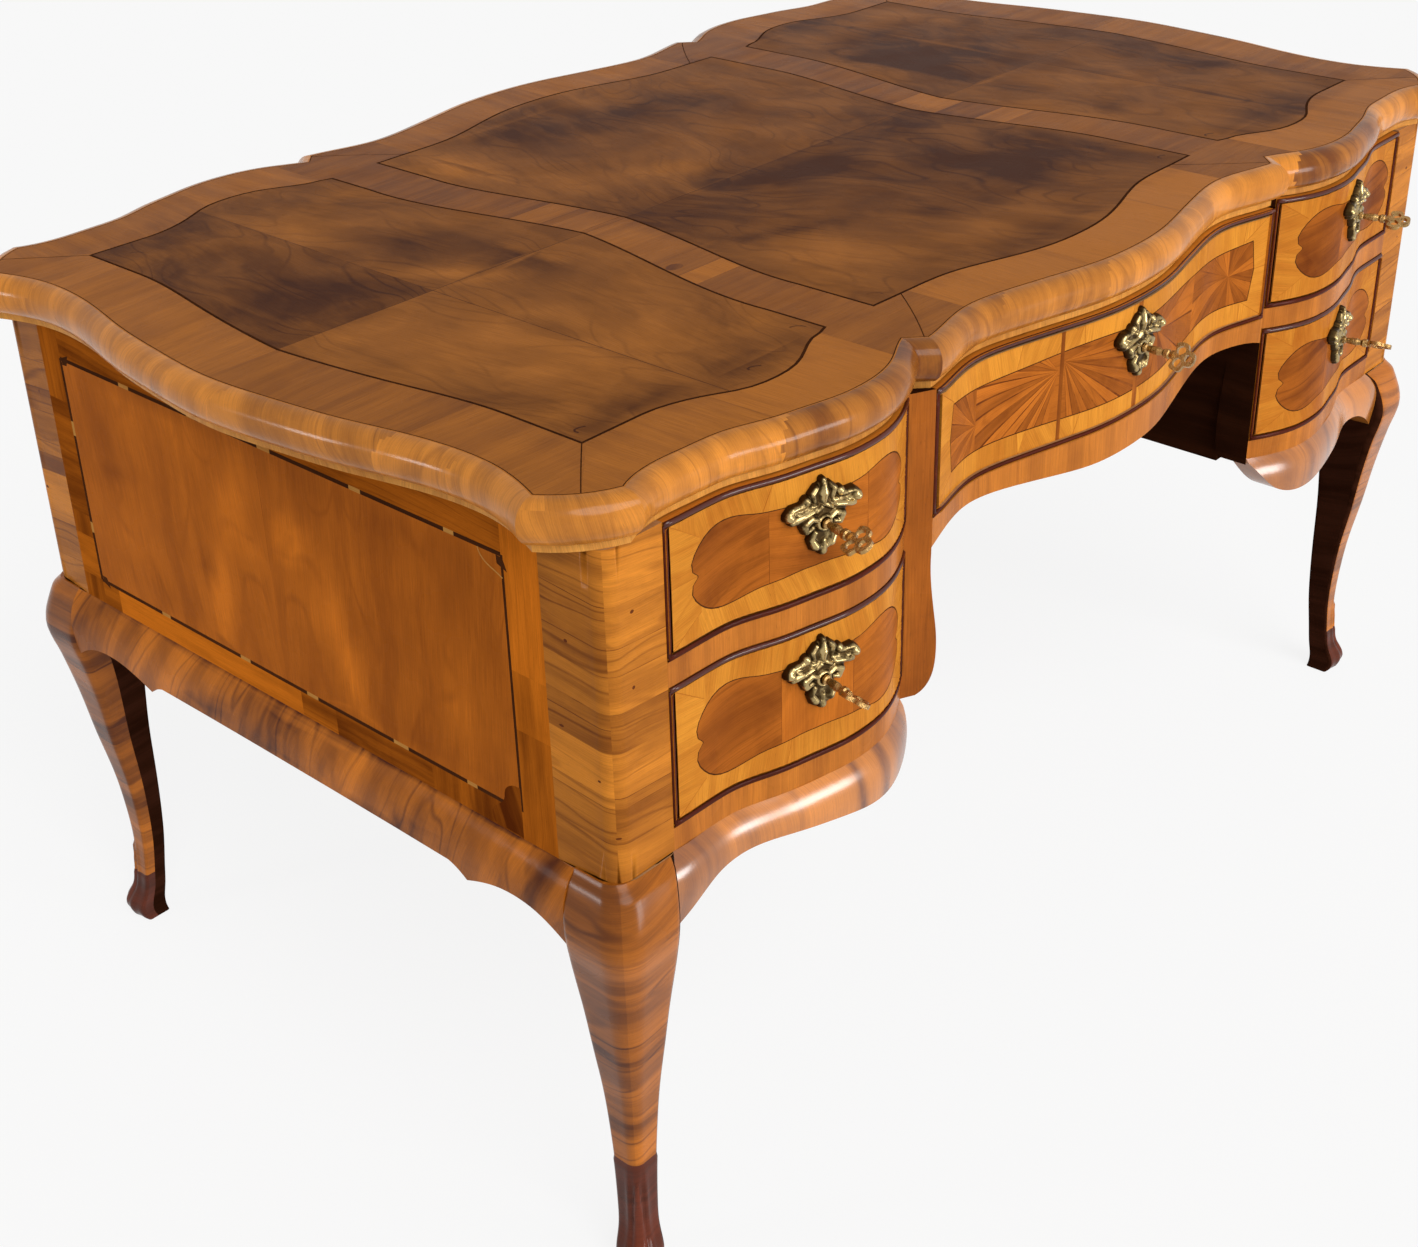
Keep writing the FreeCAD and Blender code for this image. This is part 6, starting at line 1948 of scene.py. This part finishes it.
# Relief of a key plate in millimetres about its keyhole, right half and middle: capsules of
# two ends, each with across, height, radius and how far it stands out
PLATE_DOMES = (
    (0, 27, 9.5, 4.0, 0, 18, 14.0, 3.8), (0, 34, 3.6, 6.6, 0, 26, 5.4, 8.4),
    (0, 26, 5.4, 8.4, 0, 16, 3.0, 6.0), (0, 37, 3.4, 5.8, 0, 37, 3.4, 5.8),
    (0, 8, 15.0, 3.8, 16, 10, 11.0, 3.8), (9, 14, 9.0, 4.8, 27, 14, 7.0, 4.8),
    (6.5, 32, 3.0, 5.4, 11, 27, 3.6, 6.0), (11, 27, 3.6, 6.0, 9, 20, 3.0, 5.4),
    (17, 23, 4.6, 7.4, 17, 23, 4.6, 7.4), (23, 19.5, 3.4, 6.0, 17, 21, 3.4, 6.4),
    (34, 14, 5.4, 8.8, 34, 14, 5.4, 8.8), (25, 20, 3.0, 6.0, 31, 19.5, 3.4, 6.4),
    (31, 19.5, 3.4, 6.4, 35, 16, 3.4, 6.6), (12, 13, 3.2, 7.6, 21, 11, 3.6, 7.8),
    (21, 11, 3.6, 7.8, 28, 9, 4.2, 6.8), (28, 9, 4.2, 6.8, 31, 8, 3.4, 6.0),
    (6, 3, 3.0, 7.4, 12, 6, 3.4, 7.2), (12, 6, 3.4, 7.2, 19, 2, 4.6, 7.0),
    (19, 2, 4.6, 7.0, 17, -4, 3.6, 6.2), (17, -4, 3.6, 6.2, 11, -2, 2.8, 5.8),
    (0, -6, 12.0, 3.8, 4, -14, 9.0, 3.8), (9, -7, 3.4, 6.6, 12, -13, 3.6, 6.2),
    (12, -13, 3.6, 6.2, 8, -20, 4.8, 7.4), (0, -17, 4.6, 5.6, 0, -26, 4.6, 6.2),
    (4, -22, 3.6, 5.6, 7, -20, 3.2, 6.0), (7.5, 12, 2.6, 6.8, 3, 15, 3.0, 7.2),
    (24, 14, 2.2, 7.4, 27, 14.5, 2.0, 7.0), (9, 17.5, 2.2, 6.8, 13, 17.5, 2.4, 7.0),
)
PLATE_SCALE = 0.001
KEYHOLE_DROP = 0.051
KEYHOLE_RADIUS = 3.0
COLLAR_RADIUS = 6.0
PLATE_STEP = 0.6
PLATE_BED = 4.0
PLATE_THICKNESS = 1.3
CLEAN_HEIGHT = 7.6


def plate_height(x, z):
    """Height of the relief, squared, above the plate's face; below nought where it is open."""
    best = np.full(x.shape, -1.0)
    for x_a, z_a, r_a, h_a, x_b, z_b, r_b, h_b in PLATE_DOMES:
        for mirror in (1, -1):
            ax, bx = x_a * mirror, x_b * mirror
            dx, dz = bx - ax, z_b - z_a
            length = dx * dx + dz * dz
            t = np.clip(((x - ax) * dx + (z - z_a) * dz) / length, 0, 1) if length else 0.0
            away = (x - ax - dx * t) ** 2 + (z - z_a - dz * t) ** 2
            radius, high = r_a + (r_b - r_a) * t, h_a + (h_b - h_a) * t
            best = np.maximum(best, (1 - away / radius**2) * high**2)
    away = np.sqrt(x * x + z * z)
    ring = (1 - ((away - COLLAR_RADIUS) / 2.4) ** 2) * 7.0**2
    best = np.maximum(best, ring)
    return np.where(away < KEYHOLE_RADIUS, -1.0 - KEYHOLE_RADIUS + away, best)


def plate_mesh():
    """Faces of the relief about the keyhole: places outwards and how deep each one lies."""
    xs = np.arange(-40, 40 + PLATE_STEP, PLATE_STEP)
    zs = np.arange(-31, 41 + PLATE_STEP, PLATE_STEP)
    field = plate_height(*np.meshgrid(xs, zs, indexing="ij"))
    places, index, faces, rims = [], {}, [], []

    def number(key, place):
        if key not in index:
            index[key] = len(places)
            places.append(place)
        return index[key]

    def corner(p):
        return number(p, (xs[p[0]], zs[p[1]], math.sqrt(max(0.0, field[p]))))

    def crossing(a, b):
        t = field[a] / (field[a] - field[b])
        return number((min(a, b), max(a, b)), (xs[a[0]] + (xs[b[0]] - xs[a[0]]) * t,
                                               zs[a[1]] + (zs[b[1]] - zs[a[1]]) * t, 0.0))

    for i in range(len(xs) - 1):
        for j in range(len(zs) - 1):
            loop = [(i, j), (i + 1, j), (i + 1, j + 1), (i, j + 1)]
            face, leaving, entering = [], [], []
            for a, b in zip(loop, loop[1:] + loop[:1]):
                if field[a] > 0:
                    face.append(corner(a))
                if (field[a] > 0) != (field[b] > 0):
                    face.append(crossing(a, b))
                    (leaving if field[a] > 0 else entering).append(face[-1])
            if len(face) > 2:
                faces.append(face)
            if len(leaving) == 1:
                rims.append((leaving[0], entering[0]))
    return np.array(places), faces, rims


def make_brasses():
    """Sculpted key plates; the keys keep their turned shape."""
    s = sizes()
    places, faces, rims = plate_mesh()
    curves = fronts()
    for name, side, *_, z_high in drawer_places():
        curve = curves[side]
        low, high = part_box(name + "_escutcheon")
        x = (low[0] + high[0]) / 2
        slope = float(curve.way(x))
        length = math.sqrt(1 + slope * slope)
        across = np.array((1 / length, slope / length, 0.0))
        out = np.array((slope / length, -1 / length, 0.0))
        origin = np.array((x, float(curve.y(x)) + s.middle_y, z_high - KEYHOLE_DROP))
        points = []
        for bedded in (False, True):
            for u, v, h in places:
                rise = -PLATE_BED if bedded else h + PLATE_THICKNESS
                spot = across * u + out * rise + np.array((0, 0, v))
                points.append(tuple(origin + spot * PLATE_SCALE))
        count = len(places)
        polygons = [list(face) for face in faces]
        polygons += [[a + count for a in reversed(face)] for face in faces]
        polygons += [[b, a, a + count, b + count] for a, b in rims]
        mesh = bpy.data.meshes.new(name + "_plate")
        mesh.from_pydata(points, [], polygons)
        mesh.polygons.foreach_set("use_smooth", [True] * len(polygons))
        depth = mesh.attributes.new("depth", "FLOAT", "POINT")
        depth.data.foreach_set("value", [float(np.clip(1.0 - h / CLEAN_HEIGHT, 0.0, 1.0))
                                         for _, _, h in places] + [1.0] * count)
        mesh.materials.append(MATERIALS["brass"])
        mesh.update()
        piece = bpy.data.objects.new(name + "_plate", mesh)
        finish_piece(piece, name, replaces=(name + "_escutcheon",))
    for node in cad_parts:
        if node.endswith("_key"):
            give_material(node, MATERIALS["key"])


# Stage


def camera_matrix():
    """The place and turn of the photograph's camera."""
    a, e, roll = math.radians(-46.97), math.radians(28.24), math.radians(-1.81)
    back = Vector((math.sin(a) * math.cos(e), -math.cos(a) * math.cos(e), math.sin(e)))
    right = (-back).cross(Vector((0, 0, 1))).normalized()
    up = right.cross(-back)
    right, up = (right * math.cos(roll) + up * math.sin(roll),
                 up * math.cos(roll) - right * math.sin(roll))
    matrix = Matrix((right, up, back)).transposed().to_4x4()
    matrix.translation = Vector((-1.57194, -1.29615, 1.44292))
    return matrix


def add_light(name, kind, way, power):
    """A light that shines along a direction."""
    light = bpy.data.objects.new(name, bpy.data.lights.new(name, kind))
    light.data.energy = power
    light.rotation_mode = "QUATERNION"
    light.rotation_quaternion = Vector(way).to_track_quat("-Z", "Y")
    bpy.context.scene.collection.objects.link(light)
    return light


def add_softbox(name, place, target, wide, power):
    """A rectangular light at a place, turned to a target."""
    light = add_light(name, "AREA", Vector(target) - Vector(place), power)
    light.location = place
    light.data.shape = "RECTANGLE"
    light.data.size, light.data.size_y = wide


FLOOR_REACH = 14.0
FLOOR_SQUARES = 8


def make_stage():
    """Floor, world, lights and the photograph's camera."""
    scene = bpy.context.scene
    scene.view_settings.view_transform = "Standard"
    marks = np.linspace(-FLOOR_REACH, FLOOR_REACH, FLOOR_SQUARES + 1)
    row = len(marks)
    starts = [j * row + i for j in range(FLOOR_SQUARES) for i in range(FLOOR_SQUARES)]
    mesh = bpy.data.meshes.new("floor")
    mesh.from_pydata([(x, y, 0.0) for y in marks for x in marks], [],
                     [(k, k + 1, k + row + 1, k + row) for k in starts])
    mesh.materials.append(plain_floor("pale_paper", (0.72, 0.72, 0.72)))
    floor = bpy.data.objects.new("floor", mesh)
    scene.collection.objects.link(floor)
    world = bpy.data.worlds.new("studio")
    scene.world = world
    world.use_nodes = True
    n = Nodes(world.node_tree)
    air = world.node_tree.nodes["Background"]
    air.inputs["Color"].default_value = (1.0, 0.99, 0.97, 1)
    n.feed(air.inputs["Strength"], n.math("MULTIPLY_ADD", seen_share(n), 0.66, 0.27))
    key = add_light("key_light", "SUN", (0.22, 0.7, -0.66), 2.2)
    key.data.angle = math.radians(40)
    add_softbox("front_softbox", (0.5, -3.6, 0.55), (-0.1, -0.4, 0.45), (1.4, 1.0), 56)
    add_softbox("side_softbox", (-3.9, 1.75, 0.95), (-0.6, 0.0, 0.5), (0.7, 0.7), 26)
    camera = bpy.data.cameras.new("camera")
    camera.sensor_width = 36.0
    camera.lens = 50.66
    camera.shift_x, camera.shift_y = 0.0123, -0.0588
    camera.clip_start, camera.clip_end = 0.05, 60.0
    eye = bpy.data.objects.new("camera", camera)
    eye.matrix_world = camera_matrix()
    scene.collection.objects.link(eye)
    scene.camera = eye


# Operators


class DESK_OT_materials(bpy.types.Operator):
    """Makes the woods and metals of the desk"""

    bl_idname = "desk.materials"
    bl_label = "Woods and metals"

    def execute(self, context):
        make_materials()
        return {"FINISHED"}


class DESK_OT_top(bpy.types.Operator):
    """Lays the veneer of the top: three figured fields in cross-grained bands"""

    bl_idname = "desk.top"
    bl_label = "Top board"

    def execute(self, context):
        make_top_board()
        return {"FINISHED"}


class DESK_OT_moulding(bpy.types.Operator):
    """Sweeps the rounded moulding around the top"""

    bl_idname = "desk.moulding"
    bl_label = "Edge moulding"

    def execute(self, context):
        make_edge_moulding()
        return {"FINISHED"}


class DESK_OT_panels(bpy.types.Operator):
    """Lays the veneer of the two side panels"""

    bl_idname = "desk.panels"
    bl_label = "Side panels"

    def execute(self, context):
        make_side_panels()
        return {"FINISHED"}


class DESK_OT_legs(bpy.types.Operator):
    """Shapes the four cabriole legs with their carved feet and posts"""

    bl_idname = "desk.legs"
    bl_label = "Legs and posts"

    def execute(self, context):
        make_legs()
        return {"FINISHED"}


class DESK_OT_fronts(bpy.types.Operator):
    """Lays the veneer of the five drawer fronts and runs their cock beads"""

    bl_idname = "desk.fronts"
    bl_label = "Drawer fronts"

    def execute(self, context):
        make_drawer_fronts()
        return {"FINISHED"}


class DESK_OT_plain(bpy.types.Operator):
    """Finishes the rails, stiles, aprons, back, walls and drawer boxes"""

    bl_idname = "desk.plain"
    bl_label = "Frame and inside"

    def execute(self, context):
        make_plain_pieces()
        return {"FINISHED"}


class DESK_OT_brasses(bpy.types.Operator):
    """Finishes the key plates and the keys"""

    bl_idname = "desk.brasses"
    bl_label = "Key plates and keys"

    def execute(self, context):
        make_brasses()
        return {"FINISHED"}


class DESK_OT_stage(bpy.types.Operator):
    """Sets up the floor, the light and the camera"""

    bl_idname = "desk.stage"
    bl_label = "Stage"

    def execute(self, context):
        make_stage()
        return {"FINISHED"}


STEPS = (
    DESK_OT_materials, DESK_OT_top, DESK_OT_moulding, DESK_OT_panels, DESK_OT_legs,
    DESK_OT_fronts, DESK_OT_plain, DESK_OT_brasses, DESK_OT_stage,
)


class DESK_PT_panel(bpy.types.Panel):
    """The desk's sizes, colours and steps"""

    bl_idname = "DESK_PT_panel"
    bl_label = "Writing desk"
    bl_space_type = "VIEW_3D"
    bl_region_type = "UI"
    bl_category = "Desk"

    def draw(self, context):
        layout = self.layout
        for step in STEPS:
            layout.operator(step.bl_idname)
        for group in (context.scene.desk_sizes, context.scene.desk_colours):
            box = layout.box()
            for name in group.bl_rna.properties.keys():
                if name not in ("rna_type", "name"):
                    box.prop(group, name)


CLASSES = (DeskSizes, DeskColours) + STEPS + (DESK_PT_panel,)


def register():
    for kind in CLASSES:
        bpy.utils.register_class(kind)
    bpy.types.Scene.desk_sizes = PointerProperty(type=DeskSizes)
    bpy.types.Scene.desk_colours = PointerProperty(type=DeskColours)


def unregister():
    del bpy.types.Scene.desk_sizes
    del bpy.types.Scene.desk_colours
    for kind in reversed(CLASSES):
        bpy.utils.unregister_class(kind)


def main():
    register()
    for step in STEPS:
        group, name = step.bl_idname.split(".")
        getattr(getattr(bpy.ops, group), name)()


if __name__ == "__main__":
    main()
